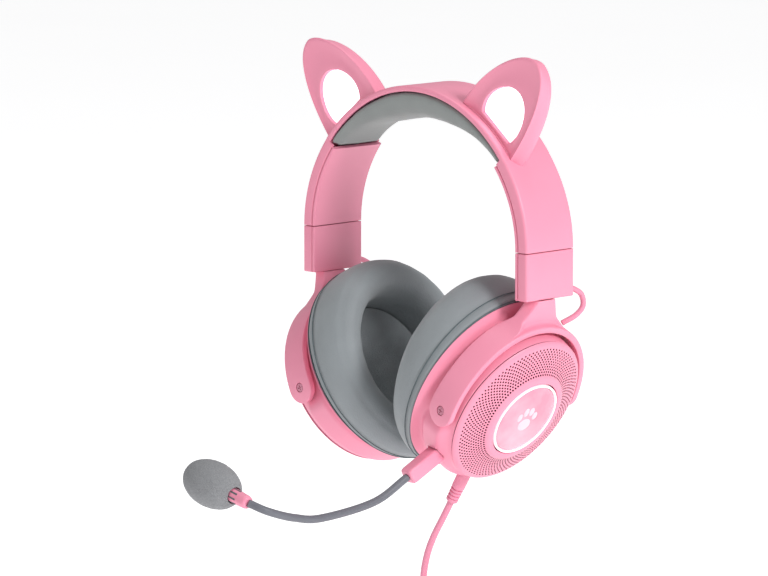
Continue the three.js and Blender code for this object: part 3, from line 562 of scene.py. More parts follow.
def build_headband():
    w = BAND_HALF_WIDTH
    lip_in_arm = ARM_THICKNESS - COVER_THICKNESS - GAP
    lip_at_pad = BAND_R - PAD_LIP_R

    def section(angle):
        lip = lip_in_arm if min(angle, 180 - angle) <= PAD_END else lip_at_pad
        corner = [(-w, lip), (-w, 0), (w, 0), (w, lip), (w - 2, lip), (w - 2, SHELL_WALL),
                  (-w + 2, SHELL_WALL), (-w + 2, lip)]
        return rounded(corner, 1.9, 5)

    arm = spread(0, PAD_END, 24)
    angles = arm + spread(PAD_END + 0.4, 179.6 - PAD_END, 72) + [180 - a for a in reversed(arm)]
    make("headband_shell", *sweep_band(angles, section), "pink_plastic", "headband",
         ("headband_outer_shell",), sharp=50)
    top = ARM_THICKNESS - COVER_THICKNESS
    cover = rounded([(-w, top), (w, top), (w, ARM_THICKNESS), (-w, ARM_THICKNESS)], 1.3, 5)
    for name, mirror in SIDES:
        make("arm_cover_" + name, *sweep_band(spread(0, PAD_END - 0.4, 24), lambda a: cover), "pink_plastic",
             "headband", ("arm_inner_cover_" + name,), mirror=mirror, sharp=50)
    build_pad()
    build_top_slots()


def build_pad():
    """The pad swells to its crowned underside, and keeps flat ends against the arms."""
    top = BAND_R - PAD_LIP_R + GAP
    half = BAND_HALF_WIDTH - GAP

    def section(angle):
        rise = ease(PAD_END, 80, min(angle, 180 - angle))
        edge, crown = mix(4.6, 8.8, rise), mix(0.6, 6.6, rise)
        points = [(-half + 0.2, top + 0.2), (0, top + 0.2), (half - 0.2, top + 0.2)]
        for i in range(25):
            s = 1 - i / 12
            bulge = math.sqrt(max(0, 1 - s * s))
            points.append((half * s, top + edge * (0.5 + 0.5 * min(1, bulge * 1.7)) + crown * bulge ** 1.5))
        return points

    angles = [PAD_END + 0.8, *spread(PAD_END + 1.1, 178.9 - PAD_END, 90), 179.2 - PAD_END]
    pad = make("headband_cushion", *sweep_band(angles, section), "headband_fabric", None)
    puff(pad, 2.5, 0.5, 1.5)
    wrinkle(pad, 0.22, 0.09, 3)
    shade(pad, 60)
    attach(pad, "headband", ("headband_pad",))


TOP_SLOT_ANGLE, TOP_SLOT_Y = 68, 4.5


def build_top_slots():
    """Two short slots in the band's top, on the crown's side of each ear, given a darker pink as painted shade."""
    for name, mirror in SIDES:
        for end, sign in ENDS:
            centre = Vector(band_point(TOP_SLOT_ANGLE, -0.05, TOP_SLOT_Y * sign))
            tilt = Matrix.Rotation(math.radians(90 - TOP_SLOT_ANGLE), 4, "Y")
            place = Matrix.Translation(centre) @ tilt
            outline = rounded([(-3.4, -0.75), (3.4, -0.75), (3.4, 0.75), (-3.4, 0.75)], 0.7, 4)
            inner = [(x * 0.9, y * 0.72) for x, y in outline]
            levels = ((outline, -0.3), (outline, 0.05), (inner, 0.05), (inner, -0.25))
            rings = [[(x, y, z) for x, y in edge] for edge, z in levels]
            # the darker pink of each slot is painted shade in its shallow recess
            make(f"ear_socket_{end}_{name}", *skin(rings), PINK_SHADE, "headband", place=place, mirror=mirror)


# ---------- ears ----------
OUTLINE_STEPS, FOOT_STEPS, LIGHT_MIDDLE = 24, 12, 12


def bezier(a, b, c, d, count):
    points = []
    for i in range(count + 1):
        t = i / count
        s = 1 - t
        points.append(tuple(s ** 3 * p + 3 * s * s * t * q + 3 * s * t * t * r + t ** 3 * e
                            for p, q, r, e in zip(a, b, c, d)))
    return points


def closed_foot(left, right):
    """Joins the outline's two sides and closes it along its foot."""
    start, end = left[0], right[-1]
    shares = [i / FOOT_STEPS for i in range(1, FOOT_STEPS)]
    under = [(mix(end[0], start[0], t), mix(end[1], start[1], t)) for t in shares]
    return left[:-1] + right + under


def ear_outline(outer, inner, height):
    foot = -6
    left = bezier((-outer, foot), (-outer - 0.5, height * 0.42), (-outer * 0.72, height * 0.98), (-1, height),
                  OUTLINE_STEPS)
    right = bezier((-1, height), (inner * 0.36, height), (inner * 1.08, height * 0.52), (inner, foot),
                   OUTLINE_STEPS)
    return closed_foot(left, right)


def ear_opening(inset):
    top, foot = 28.7 - inset, 2.2 + inset
    left = bezier((-13 + inset, foot), (-18 + inset, 9), (-14 + inset, top), (-1.5, top), OUTLINE_STEPS)
    right = bezier((-1.5, top), (9 - inset, top), (19 - inset, 12), (11.5 - inset, foot), OUTLINE_STEPS)
    return closed_foot(left, right)


def seated(u, v):
    """Keeps a point of the ear just off the band's round top."""
    return (u, max(v, math.sqrt(max(0, (BAND_R + 0.35) ** 2 - u * u)) - BAND_R))


def build_ear(name, mirror):
    a = math.radians(EAR_ANGLE)
    c, s = math.cos(a), math.sin(a)
    place = Matrix.Translation(band_point(EAR_ANGLE, 0, 0)) @ (
        Matrix(((-s, c, 0, 0), (0, 0, -1, 0), (c, s, 0, 0), (0, 0, 0, 1))))
    front_y, widest, back_y = (layer[0] for layer in EAR_LAYERS)
    front, middle, back = (ear_outline(*layer[1:]) for layer in EAR_LAYERS)
    opening = ear_opening(0)
    floor = front_y + 5.6

    def ring(outline, y, share, toward):
        """The outline at depth y, moved a share of the way toward another one."""
        return [(*seated(mix(u, tu, share), mix(v, tv, share)), -y)
                for (u, v), (tu, tv) in zip(outline, toward)]

    rings = []
    for t in (0.45, 0.15, 0.05):
        rings.append(ring(back, back_y - 0.5 * (0.45 - t), t, opening))
    for i in range(9):
        t = i / 8
        wide = math.sin(t * math.pi / 2)
        rings.append(ring(back, mix(back_y - 0.9, widest, t), wide, middle))
    for i in range(1, 9):
        t = i / 8
        rings.append(ring(middle, mix(widest, front_y + 0.7, t), t ** 1.6, front))
    for t, dip in ((0.02, 0.15), (0.05, -0.05), (0.12, 0.1), (0.3, 0.75), (0.55, 1.15), (0.78, 1.0),
                   (0.94, 0.8), (0.995, 0.95), (1, 1.3), (1, 2.5)):
        rings.append(ring(front, front_y + dip, t, opening))
    rings.append(ring(front, floor, 1, opening))
    make("ear_" + name, *skin(rings), "pink_plastic", "ear_" + name, ("ear_frame_" + name,), place=place,
         mirror=mirror, sharp=42)
    lit = ear_opening(0.35)
    rings = []
    for t, y in ((0, floor - 0.1), (0, front_y + 2.9), (0.03, front_y + 2.45), (0.2, front_y + 2.2),
                 (0.6, front_y + 2.0), (0.9, front_y + 1.95)):
        rings.append([(mix(u, 0, t), mix(v, LIGHT_MIDDLE, t), -y) for u, v in lit])
    make("ear_light_" + name, *skin(rings), "light_guide", "ear_" + name, ("ear_light_panel_" + name,),
         place=place, mirror=mirror, sharp=42)


build_headband()
for side_name, side_mirror in SIDES:
    build_ear(side_name, side_mirror)


# ---------- finishes of the CAD pieces ----------
for part in frame["record"]["subparts"]:
    node = frame["nodes"][part["node"]]
    node.data.materials.clear()
    node.data.materials.append(FINISH[part["material_slot"]])


# ---------- end blocks, yokes and wire loops ----------
BLOCK_TOP, BLOCK_BOTTOM = SEAM_Z - SEAM_GAP, SEAM_Z - BLOCK_HEIGHT
SWIVEL_X = 81
STRIP_LEAN, STRIP_X, STRIP_HALF_WIDTH = 7.5, 79.75, 7


def rounded_block(x0, x1, corners):
    w = BAND_HALF_WIDTH
    outline = rounded([(x0, -w), (x1, -w), (x1, w), (x0, w)], corners, 6)
    rings = []
    for z, shrink in ((BLOCK_BOTTOM, 1.2), (BLOCK_BOTTOM + 0.12, 0.75), (BLOCK_BOTTOM + 0.45, 0.3),
                      (BLOCK_BOTTOM + 1.2, 0), (BLOCK_TOP - 0.5, 0), (BLOCK_TOP - 0.12, 0.12),
                      (BLOCK_TOP, 0.45)):
        rings.append([(min(x1 - shrink, max(x0 + shrink * 0.4, x)), min(w - shrink, max(shrink - w, y)), z)
                      for x, y in outline])
    return skin(rings)


def swivel_bore(radius, low, high, mirror):
    """Cuts about the swivel's axis, between two heights over the end block's foot."""
    ends = [(SWIVEL_X, 0, BLOCK_BOTTOM + z) for z in (low, high)]
    return tool(cylinder(radius, *ends), mirror=mirror)


def build_end_block(name, mirror):
    w = BAND_HALF_WIDTH
    inside = BAND_R - ARM_THICKNESS
    lip = inside + COVER_THICKNESS + GAP
    body = "slider_" + name
    outer = make("end_block_" + name, *rounded_block(lip, BAND_R, (0.8, 1.9, 1.9, 0.8)), "pink_plastic", body,
                 ("end_block_outer_" + name,), mirror=mirror)
    lean = Matrix.Translation((STRIP_X, 0, SEAM_Z)) @ Matrix.Rotation(math.radians(-STRIP_LEAN), 4, "Y")
    wide = STRIP_HALF_WIDTH + GAP
    carve(
        outer,
        tool(brick(inside - 1, -w + 2, BLOCK_BOTTOM + 5, BAND_R - SHELL_WALL, w - 2, BLOCK_TOP - SHELL_WALL),
             mirror=mirror),
        tool(brick(-0.8, -wide, -12, 0.8, wide, 24), lean, mirror),
        swivel_bore(BORE_R, -1, 6, mirror),
        swivel_bore(SWIVEL_HEAD_BORE_R, 2.4, 6, mirror),
    )
    make("end_block_cover_" + name, *rounded_block(inside, inside + COVER_THICKNESS, (1.3, 0.6, 0.6, 1.3)),
         "pink_plastic", body, ("end_block_inner_" + name,), mirror=mirror)
    loop = smooth_path(WIRE_ROUTE, 0.7)
    wire = make("wire_" + name, *pipe(loop, WIRE_R, 18), "pink_cable", None, mirror=mirror)
    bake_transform(wire)
    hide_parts("wire_loop_" + name)


PIVOT = Vector(JOINTS["tilt_left"]["pos_m"]) / MM
YOKE_PLACE = Matrix.Translation(PIVOT) @ Matrix.Rotation(math.radians(YOKE_LEAN), 4, "Y")
CUP_PLACE = Matrix.Translation(PIVOT) @ Matrix.Rotation(math.radians(CUP_TILT), 4, "Y")


def yoke_rings():
    """Sections around the fork: a wide band that narrows into a raised neck at the top."""
    rings = []
    end = spread(-10.2, -5, 14)
    for psi in end + spread(-4.4, 184.4, 180) + [180 - a for a in reversed(end)]:
        off = abs(psi - 90)
        rise = (1 - min(1, max(0, off - 5.5) / 22)) ** 2.6
        below = math.radians(max(0, off - 90)) * YOKE_INNER_R
        tip = math.sqrt(max(0.004, 1 - (below / YOKE_END_R) ** 2)) * YOKE_END_R
        ends = ease(60, 90, off)
        front, back = mix(YOKE_FRONT, tip, ends), -mix(YOKE_BACK, tip, ends)
        edge = min(1.3, (front - back) / 4)
        thin = ease(0, 0.3, rise)
        neck_front = mix(front - 1.3 * edge, NECK_HALF_WIDTH, thin)
        neck_back = mix(back + 1.3 * edge, -NECK_HALF_WIDTH, thin)
        foot, outer = YOKE_OUTER_R + 0.02, YOKE_OUTER_R + 0.05 + NECK_RISE * rise
        fillet = 0.2 + 1.6 * thin
        section = rounded(
            [(front, YOKE_INNER_R), (front, YOKE_OUTER_R), (neck_front, foot), (neck_front, outer),
             (neck_back, outer), (neck_back, foot), (back, YOKE_OUTER_R), (back, YOKE_INNER_R)],
            (0.6, edge, fillet, fillet, fillet, fillet, edge, 0.6), 4)
        c, s = math.cos(math.radians(psi)) * YOKE_RATIO, math.sin(math.radians(psi))
        rings.append([(x, -r * c, r * s) for x, r in section])
    return rings


def pivot_bore(radius, sign, near, far, place, mirror, segments=32):
    """Cuts along the tilt axis, front or rear, between two distances from the cup's middle."""
    return tool(cylinder(radius, (0, sign * near, 0), (0, sign * far, 0), segments), place, mirror)


def build_yoke(name, mirror):
    yoke = make("fork_" + name, *skin(yoke_rings()), "pink_plastic", "yoke_" + name, ("yoke_" + name,),
                place=YOKE_PLACE, mirror=mirror)
    face = YOKE_OUTER_R * YOKE_RATIO
    tools = [
        tool(brick(0, -60, BLOCK_BOTTOM - GAP, 150, 60, BLOCK_BOTTOM + 60), mirror=mirror),
        swivel_bore(BORE_R, -4.5, 1, mirror),
    ]
    for sign in (-1, 1):
        tools.append(pivot_bore(BORE_R, sign, face - 8, face + 2, YOKE_PLACE, mirror))
        tools.append(pivot_bore(PIVOT_HEAD_BORE_R, sign, face - 1.6, face + 2, YOKE_PLACE, mirror, 48))
    carve(yoke, *tools)
    profile = rounded([(0, 0), (0, 1.4), (8.2, 1.4), (8.2, 2.4), (9.4, 2.4), (9.4, 0)],
                      (0, 0.1, 0.1, 0.1, 0.5, 0), 4, closed=False)
    for end, sign in ENDS:
        shape = turned(profile, (0, sign * (face - 9.5), 0), (0, sign * face, 0), 48)
        screw = make(f"pivot_{end}_{name}", *shape, PINK_SHADE, "yoke_" + name,
                     (f"pivot_screw_{end}_{name}",), place=YOKE_PLACE, mirror=mirror)
        near, far = sorted((sign * (face - 0.75), sign * (face + 1)))
        carve(screw, tool(brick(-1.5, near, -0.3, 1.5, far, 0.3), YOKE_PLACE, mirror),
              tool(brick(-0.3, near, -1.5, 0.3, far, 1.5), YOKE_PLACE, mirror))


# ---------- cups ----------
FLARE_FROM_R = 43.9


def on_cup(prefix, side, shape, finish, node="", sharp=35):
    """A piece of one side's cup, which may stand for that side's CAD node."""
    nodes = (node + side,) if node else ()
    return make(prefix + side, *shape, finish, "cup_" + side, nodes, CUP_PLACE, MIRROR[side], sharp)


def flare(x, y, z):
    """Widens the lower half of the cup's outer wall to carry on the fork's line."""
    r = math.hypot(y / CUP_RATIO, z)
    if r < FLARE_FROM_R:
        return (x, y, z)
    share = ease(5, 14, -z) * (1 - ease(1, DISC_X - 1.2, x)) * ease(CUSHION_BACK + 1, -9, x)
    target = max(r, mix(r, FLARE_R, share))
    wide = mix(CUP_RATIO, YOKE_RATIO, share)
    return (x, (y / CUP_RATIO) * (target / r) * wide, z * mix(1, target / r, 0.75))


def on_rim(degrees, r, x):
    """A point of the cup's rim, so many degrees below its rear."""
    return (x, r * math.cos(math.radians(degrees)), -r * math.sin(math.radians(degrees)))


def along_profile(points, step):
    """A smooth curve through [x, radius] pairs."""
    return [(p.x, p.z) for p in smooth_path([(x, 0, r) for x, r in points], step)]


def build_shell(name, mirror):
    rim = DISC_X - GAP - 0.5
    back = CUSHION_BACK + GAP
    outside = along_profile([(rim - 0.3, 44.95), (5, 45.3), (0, 45.5), (-5, 45.4), (-9, 45), (-12, 46.5),
                             (-14, 49.5), (back + 0.3, 53.3)], 0.8)
    profile = [(rim, 42.8), (rim, 44.6), *outside, (back, 53.3), (back, 50), (-13, 46), (-9.5, 43),
               (rim, 42.8)]
    shell = on_cup("cup_", name, revolve(profile, CUP_RATIO, 144, flare), "pink_plastic", "cup_shell_")
    inner = YOKE_INNER_R * YOKE_RATIO - 0.7 - GAP
    tools = []
    for end, sign in ENDS:
        tools.append(pivot_bore(YOKE_END_R + 0.9, sign, inner, 60, CUP_PLACE, mirror, 64))
        tools.append(pivot_bore(BORE_R, sign, 36, 60, CUP_PLACE, mirror))
        length = inner - BOSS_START
        ring = [(0, BORE_R), (0, BOSS_R), (length, BOSS_R), (length, BORE_R), (0, BORE_R)]
        boss = turned(ring, (0, sign * BOSS_START, 0), (0, sign * inner, 0))
        on_cup(f"pivot_boss_{end}_", name, boss, "pink_plastic")
    if mirror == 1:
        out, down = axes(JACK, BOOM_START)[0], axes(RELIEF_TOP, RELIEF_END)[0]
        jack, top = Vector(JACK), Vector(RELIEF_TOP)
        wheel = [on_rim(WHEEL_ANGLE, WHEEL_CENTRE, x) for x in (-5, -1)]
        button = [on_rim(BUTTON_ANGLE, r, -3) for r in (30, 60)]
        tools += [
            tool(cylinder(WHEEL_R + 0.6, *wheel, 64), CUP_PLACE),
            tool(cylinder(BUTTON_R + 0.35, *button, 40), CUP_PLACE),
            tool(cylinder(2.05, jack - out * 10, jack + out * 9)),
            tool(brick(-4.6, -4.6, 0, 4.6, 4.6, 20), mouth_place()),
            tool(cylinder(4.1, top - down * 6, top + down * 14, 40)),
        ]
    carve(shell, *tools)


# the dome's radius and height over the disc, from its boss to its rim
DOME = [(22.9, 8.4), (26, 7.9), (28.6, 6.1), (34, 4.1), (40, 2.5), (43.6, 1.3), (44.9, 0.2)]
DOME_R = DOME[-1][0]
HOLES_AROUND, HOLE_ROWS, HOLE_R, HOLES_FROM, HOLES_TO = 96, 11, 0.55, 27.2, 42


def dome_height(r):
    """A smooth curve through the dome's radii and heights."""
    points = DOME
    r = min(DOME_R, max(points[0][0], r))
    i = max(k for k in range(len(points) - 1) if points[k][0] <= r)
    slope = [(b[1] - a[1]) / (b[0] - a[0]) for a, b in zip(points, points[1:])]
    start = slope[i] if i == 0 else (slope[i - 1] + slope[i]) / 2
    end = slope[i] if i == len(slope) - 1 else (slope[i] + slope[i + 1]) / 2
    span = points[i + 1][0] - points[i][0]
    t = (r - points[i][0]) / span
    return ((2 * t ** 3 - 3 * t ** 2 + 1) * points[i][1] + (t ** 3 - 2 * t ** 2 + t) * span * start
            + (3 * t ** 2 - 2 * t ** 3) * points[i + 1][1] + (t ** 3 - t ** 2) * span * end)


def dome_point(r, step, drop=0.0):
    """A point of the dome, half a hole's pitch around for each step, so far under its face."""
    a = math.pi * step / HOLES_AROUND
    ratio = mix(EMBLEM_RATIO, CUP_RATIO, (r - RING_R) / (DOME_R - RING_R))
    return Vector((DISC_X + dome_height(r) - drop, r * ratio * math.cos(a), r * math.sin(a)))


def build_grille(name):
    """A dome of brick-set holes between a plain boss and a plain rim."""
    thickness = 1.1
    verts, faces, painted_shade_walls = [], [], set()

    def add(points):
        verts.extend(points)
        return list(range(len(verts) - len(points), len(verts)))

    pitch = (HOLES_TO - HOLES_FROM) / HOLE_ROWS
    for i in range(HOLE_ROWS):
        low, mid, high = (HOLES_FROM + pitch * (i + k) for k in (0, 0.5, 1))
        for j in range(HOLES_AROUND):
            a0 = 2 * j + i % 2
            border = [(low, a0), (low, a0 + 1), (low, a0 + 2), (mid, a0 + 2), (high, a0 + 2), (high, a0 + 1),
                      (high, a0), (mid, a0)]
            border = [(r, a % (2 * HOLES_AROUND)) for r, a in border]
            centre = dome_point(mid, a0 + 1)
            up = (dome_point(mid + 0.1, a0 + 1) - centre).normalized()
            side = (dome_point(mid, a0 + 1.1) - centre).normalized()
            rim = [centre + (side * math.cos(t) + up * math.sin(t)) * HOLE_R
                   for t in (math.radians(45 * k - 135) for k in range(8))]
            layers = []
            for drop in (0, thickness):
                layers.append((add([dome_point(r, a, drop) for r, a in border]),
                               add([p - Vector((drop, 0, 0)) for p in rim])))
            for k in range(8):
                n = (k + 1) % 8
                for edge, hole in layers:
                    faces.append((edge[k], edge[n], hole[n], hole[k]))
                faces.append((layers[0][1][k], layers[0][1][n], layers[1][1][n], layers[1][1][k]))
                painted_shade_walls.add(len(faces) - 1)
    strips = [
        [(HOLES_FROM, thickness), (25.5, 1.5), (22.9, 1.8), (22.9, 0.25), (23.15, 0.02), (24.5, 0), (25.5, 0),
         (26.2, 0), (26.9, 0), (HOLES_FROM, 0)],
        [(HOLES_TO, 0), (42.2, 0), (43, 0), (43.8, 0), (44.4, 0), (44.75, 0.05), (DOME_R, 0.3), (44.7, 0.6),
         (43.6, 1.5), (42.4, 1.2), (HOLES_TO, thickness)],
    ]
    for strip in strips:
        rows = [add([dome_point(r, a, drop) for a in range(2 * HOLES_AROUND)]) for r, drop in strip]
        for row, after in zip(rows, rows[1:]):
            for j in range(len(row)):
                n = (j + 1) % len(row)
                faces.append((row[j], row[n], after[n], after[j]))
    made = on_cup("grille_mesh_", name, (verts, faces), "pink_plastic", "grille_", 40)
    # the hole walls take the near-black second finish: painted shade inside the holes
    made.data.materials.append(PAINTED_SHADE)
    for face in made.data.polygons:
        face.material_index = int(face.index in painted_shade_walls)
    # a near-black ring in the gap round the grille's rim: painted shade
    edge = [(DISC_X - 0.75, 43), (DISC_X - 0.4, 43), (DISC_X - 0.4, 44.45), (DISC_X - 0.75, 44.45)]
    on_cup("grille_gap_painted_shade_", name, revolve([*edge, edge[0]], CUP_RATIO, 144), PAINTED_SHADE)
    # a near-black sheet under the holes, so they read dark: painted shade
    backing = [(25.8, 1.9), (30, 1.5), (36, 1.5), (42.6, 1.7), (42.6, 2.0), (36, 1.8), (30, 1.8), (25.8, 2.2)]
    rows = [[dome_point(r, a, drop) for a in range(0, 2 * HOLES_AROUND, 2)] for r, drop in backing]
    on_cup("grille_backing_painted_shade_", name, skin(rows, loop=True), PAINTED_SHADE)


# the badge's raised pads: y, z, half width, half height
BADGE_PADS = [
    (0, -3.2, 4.6, 4.0), (-5.6, 1.9, 1.8, 2.6), (-2.0, 4.9, 1.9, 2.8), (2.0, 4.9, 1.9, 2.8),
    (5.6, 1.9, 1.8, 2.6),
]
CROWN_STEPS, CROWN_RISE, PAD_STEPS, PAD_SIDES, PAD_RISE = 12, 0.75, 6, 32, 0.75


def build_emblem(name):
    """A glowing ring around a domed badge with a raised paw."""
    ring = rounded([(DISC_X + 6.8, EMBLEM_R + GAP), (DISC_X + 6.8, RING_R), (DISC_X + 8.8, RING_R),
                    (DISC_X + 8.8, EMBLEM_R + GAP)], (0.1, 0.1, 0.8, 0.8), 4)
    glow = on_cup("glow_ring_", name, revolve([*ring, ring[0]], EMBLEM_RATIO, 128), RING_GLOW, "light_ring_")
    profile = [(DISC_X + 6.4, 0), (DISC_X + 6.4, EMBLEM_R), (DISC_X + 8.0, EMBLEM_R)]
    for k in range(CROWN_STEPS + 1):
        x = DISC_X + 8.25 + CROWN_RISE * (1 - (1 - k / CROWN_STEPS) ** 2)
        profile.append((x, EMBLEM_R * (0.98 - 0.98 * k / CROWN_STEPS)))
    on_cup("badge_", name, revolve(profile, EMBLEM_RATIO, 128), "emblem_plastic", "emblem_")
    for i, (y, z, wide, tall) in enumerate(BADGE_PADS):
        rings = []
        for k in range(PAD_STEPS + 1):
            t = math.pi / 2 * k / PAD_STEPS
            x = DISC_X + 8.75 + PAD_RISE * math.sin(t)
            rings.append([(x, y + wide * math.cos(t) * math.cos(a) * 0.999 + 1e-4,
                           z + tall * math.cos(t) * math.sin(a)) for a in circle(PAD_SIDES)])
        on_cup(f"badge_pad_{i}_", name, skin(rings), PEARL)


def build_cushion(name, mirror):
    """A thick oval cushion, deeper at its top, with its seam, welt and inner cloth."""
    curve = along_profile([(CUSHION_BACK - 0.2, 54.4), (-18.4, 55.3), (-19.6, 54.7), (-25, 55.6), (-31, 54.8),
                           (-36, 52.8), (-38.2, 50.4), (-39.6, 49.3), (-41.4, 46.2), (-42, 43), (-41, 38.6),
                           (-38, 35.6), (-32, 34.2), (-25, 34.1), (CUSHION_BACK - 0.2, 34.2)], 1.15)
    profile = [*curve, *((CUSHION_BACK, r) for r in (34.8, 40, 45, 50, 53.9)), curve[0]]

    def deepen(x, y, z):
        r, a = math.hypot(y / CUSHION_RATIO, z), math.atan2(z, y)
        front = ease(-30, -38, x)
        fold = noise.noise(Vector((math.cos(a) * 7, math.sin(a) * 7, 3))) * 0.45 * front * ease(44, 36, r)
        fold += noise.noise(Vector((math.cos(a) * 9, math.sin(a) * 9, 8))) * 0.35 * front * ease(45, 50, r)
        depth = (x - CUSHION_BACK) * (1 + CUSHION_WEDGE * z / 50)
        return (CUSHION_BACK + depth + fold, y, z)

    pad = make("cushion_" + name, *revolve(profile, CUSHION_RATIO, 150, deepen), "cushion_leatherette", None,
               place=CUP_PLACE, mirror=mirror)
    back = CUP_PLACE.inverted()

    def held(p):
        return ease(0.4, 5, CUSHION_BACK - (back @ Vector((p.x * mirror, p.y, p.z))).x)

    puff(pad, 3, 0.55, held=held)
    wrinkle(pad, 0.2, 0.12, 11 * mirror)
    shade(pad, 60)
    attach(pad, "cup_" + name, ("ear_cushion_" + name,))
    cord = rounded([(CUSHION_BACK + 0.28, 53.2), (CUSHION_BACK - 0.35, 54.3), (CUSHION_BACK - 0.35, 54.9),
                    (CUSHION_BACK + 0.28, 54.6)], 0.2, 2)
    on_cup("cushion_seam_", name, revolve([*cord, cord[0]], CUSHION_RATIO, 150), SEAM)
    welt = [(CUSHION_BACK - 4.25 + 0.3 * math.cos(t), 55.55 + 0.28 * math.sin(t))
            for t in (math.pi * k / 4 for k in range(8))]
    on_cup("cushion_welt_", name, revolve([*welt, welt[0]], CUSHION_RATIO, 150, deepen), SEAM)
    disc = [(CUSHION_BACK - 1.6, 0), (CUSHION_BACK - 1.6, 33.4)]
    disc += [(CUSHION_BACK - 2.6 + 0.7 * (1 - (1 - k / 14) ** 2), 33.4 * (1 - k / 14)) for k in range(15)]
    on_cup("scrim_cloth_", name, revolve(disc, CUSHION_RATIO, 96), "scrim_fabric", "scrim_")


def build_controls():
    wheel = rounded([(-1.5, 0), (-1.5, 8.9), (1.5, 8.9), (1.5, 0)], 0.6, 4, closed=False)

    def ridged(x, y, z):
        a, r = math.atan2(z, y), math.hypot(y, z)
        scale = 1 - 0.03 * (0.5 + 0.5 * math.cos(36 * a)) ** 3 if r > 8 else 1
        return (x, y * scale, z * scale)

    hub = CUP_PLACE @ Matrix.Translation(on_rim(WHEEL_ANGLE, WHEEL_CENTRE, -3))
    make("volume_dial_wheel", *revolve(wheel, 1, 288, ridged), "pink_cable", "volume_dial", ("volume_wheel",),
         place=hub, sharp=50)
    button = rounded([(0, 0), (0, BUTTON_R), (10, BUTTON_R), (10.2, 0)], (0, 0.2, 0.7, 0), 5, closed=False)
    ends = [on_rim(BUTTON_ANGLE, r, -3) for r in (40, 50)]
    make("mute_cap", *turned(button, *ends, 48), "pink_cable", "mute_key", ("mute_button",), place=CUP_PLACE)


# ---------- microphone ----------
COLLAR_SLOTS = 8
SCREEN_FROM, SCREEN_STEPS = 10, 56


def mouth_place():
    """The place of the jack in the cup's wall, with z out along the boom's plug."""
    out = axes(JACK, BOOM_START)[0]
    sideways = Vector((0, 0, 1)).cross(out).normalized()
    upward = out.cross(sideways)
    return Matrix.Translation(JACK) @ Matrix((sideways, upward, out)).transposed().to_4x4()


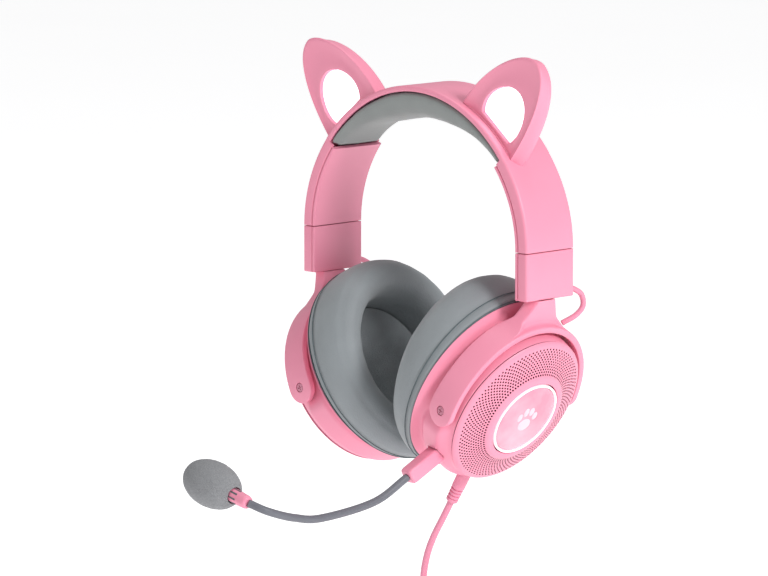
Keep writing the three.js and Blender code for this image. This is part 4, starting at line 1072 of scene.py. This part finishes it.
def build_microphone():
    length = (Vector(BOOM_START) - Vector(JACK)).length
    outline = rounded([(-4.2, -4.2), (4.2, -4.2), (4.2, 4.2), (-4.2, 4.2)], 1.5, 5)
    rings = [[(x * s, y * s, z) for x, y in outline]
             for z, s in ((GAP, 0.94), (GAP + 0.3, 1), (length - 2.2, 1), (length - 0.8, 0.95),
                          (length - 0.2, 0.86), (length, 0.76))]
    make("boom_plug", *skin(rings), "pink_plastic", "mic_base", ("mic_plug",), place=mouth_place(), sharp=50)
    pin = rounded([(-13.5, 0), (-13.2, 1.2), (-12, 1.75), (GAP, 1.75), (GAP, 0)], 0.3, 3, closed=False)
    rings = [[(r * math.cos(a), r * math.sin(a), z) for z, r in pin] for a in circle(32)]
    make("boom_plug_pin", *skin(rings, around=False, loop=True), "steel", "mic_base", place=mouth_place())

    def towards(a, b, distance):
        return Vector(a) + axes(a, b)[0] * distance

    start, end = towards(BOOM_START, BOOM_BEND_1, GAP), towards(BOOM_END, BOOM_BEND_2, GAP)
    path = smooth_path([start, BOOM_BEND_1, *BOOM_MIDDLE, BOOM_BEND_2, end], 0.9)
    split = min(range(len(path)), key=lambda i: (path[i] - Vector(BOOM_MIDDLE[0])).length)
    for name, points, bodies, bend, nodes in (
        ("gooseneck_rear", path[:split + 1], ("mic_base", "mic_arm"), BOOM_BEND_1,
         ("gooseneck_base", "gooseneck_middle")),
        ("gooseneck_front", path[split:], ("mic_arm", "mic_head"), BOOM_BEND_2, ("gooseneck_tip",)),
    ):
        neck = make(name, *pipe(points, BOOM_R, 24), "gooseneck_sleeve", None, sharp=60)
        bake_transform(neck)
        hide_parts(*nodes)

    length = (Vector(COLLAR_END) - Vector(BOOM_END)).length
    collar = rounded([(0, 0), (0, 3.1), (1.6, 3.65), (length, 3.9), (length, 0)], (0, 0.7, 0.8, 0.3, 0), 4,
                     closed=False)
    make("mic_collar_shape", *turned(collar, BOOM_END, COLLAR_END, 48), "pink_plastic", "mic_head",
         ("mic_collar",))
    axis, side, other = axes(BOOM_END, COLLAR_END)
    frame_at = Matrix((side, other, axis)).transposed().to_4x4()
    for k in range(COLLAR_SLOTS):
        turn = Matrix.Rotation(math.radians(360 / COLLAR_SLOTS * k), 4, "Z")
        slot = Matrix.Translation(Vector(BOOM_END) + axis * (length * 0.62)) @ frame_at @ turn
        make(f"mic_collar_slot_{k}", *brick(3.3, -0.45, -2.6, 3.86, 0.45, 2.6), SEAM, "mic_head", place=slot)

    screen_start = towards(WINDSCREEN_CENTRE, COLLAR_END, WINDSCREEN_LENGTH / 2)
    screen_end = Vector(WINDSCREEN_CENTRE) * 2 - screen_start
    depth = (Vector(COLLAR_END) - screen_start).length
    profile = [(depth + 9, 0), (depth + 9, 4.4), (0.9, 4.4), (0.45, 4.7)]
    for i in range(SCREEN_FROM, SCREEN_STEPS):
        t = math.pi * i / SCREEN_STEPS
        profile.append((WINDSCREEN_LENGTH / 2 * (1 - math.cos(t)), WINDSCREEN_R * math.sin(t) ** 0.9))
    profile.append((WINDSCREEN_LENGTH, 0))
    foam = make("windscreen_foam", *turned(profile, screen_start, screen_end, 80), "foam", None, sharp=60)
    wrinkle(foam, 0.16, 1.3, 5)
    wrinkle(foam, 0.10, 0.45, 9)
    attach(foam, "mic_head", ("windscreen",))


for side_name, side_mirror in SIDES:
    build_end_block(side_name, side_mirror)
    build_yoke(side_name, side_mirror)
    build_shell(side_name, side_mirror)
    build_grille(side_name)
    build_emblem(side_name)
    build_cushion(side_name, side_mirror)
build_controls()
build_microphone()


# ---------- studio ----------
AIM = (0, 0, -0.09)
LIGHTS = [  # name, place, width, power
    ("key", (2.2, -0.1, 1.1), 0.7, 40),
    ("front", (-0.9, -1.9, 0.9), 1.2, 3),
    ("top", (-0.4, 0.2, 1.9), 0.9, 10),
]
WORLD_LIGHT, FLOOR_HALF, FLOOR_DROP, FLOOR_GLOW = 0.42, 15, 0.004, 0.56


def area_light(name, place, size, power):
    data = bpy.data.lights.new(name, "AREA")
    data.shape, data.size, data.energy = "DISK", size, power
    lamp = add_object(name, data)
    lamp.location = place
    lamp.rotation_euler = (Vector(AIM) - Vector(place)).to_track_quat("-Z", "Y").to_euler()


def studio():
    h, z = FLOOR_HALF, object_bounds()[0].z - FLOOR_DROP
    mesh = bpy.data.meshes.new("floor")
    mesh.from_pydata([(-h, -h, z), (h, -h, z), (h, h, z), (-h, h, z)], [], [(0, 1, 2, 3)])
    floor = add_object("floor", mesh)
    paint = material("floor_paint", (0.92, 0.92, 0.93), 0.9, grain=(300, 0.05, 0.0005), mottle=(3, 0.01),
                     Emission_Color=(1, 1, 1, 1), Emission_Strength=FLOOR_GLOW)
    mesh.materials.append(paint)
    world = bpy.data.worlds.new("world")
    world.use_nodes = True
    background = world.node_tree.nodes["Background"]
    background.inputs["Color"].default_value = (1, 1, 1, 1)
    background.inputs["Strength"].default_value = WORLD_LIGHT
    bpy.context.scene.world = world
    for light in LIGHTS:
        area_light(*light)
    view = bpy.context.scene.view_settings
    view.view_transform, view.look = "Standard", "None"
    bpy.context.scene.cycles.use_denoising = True


studio()
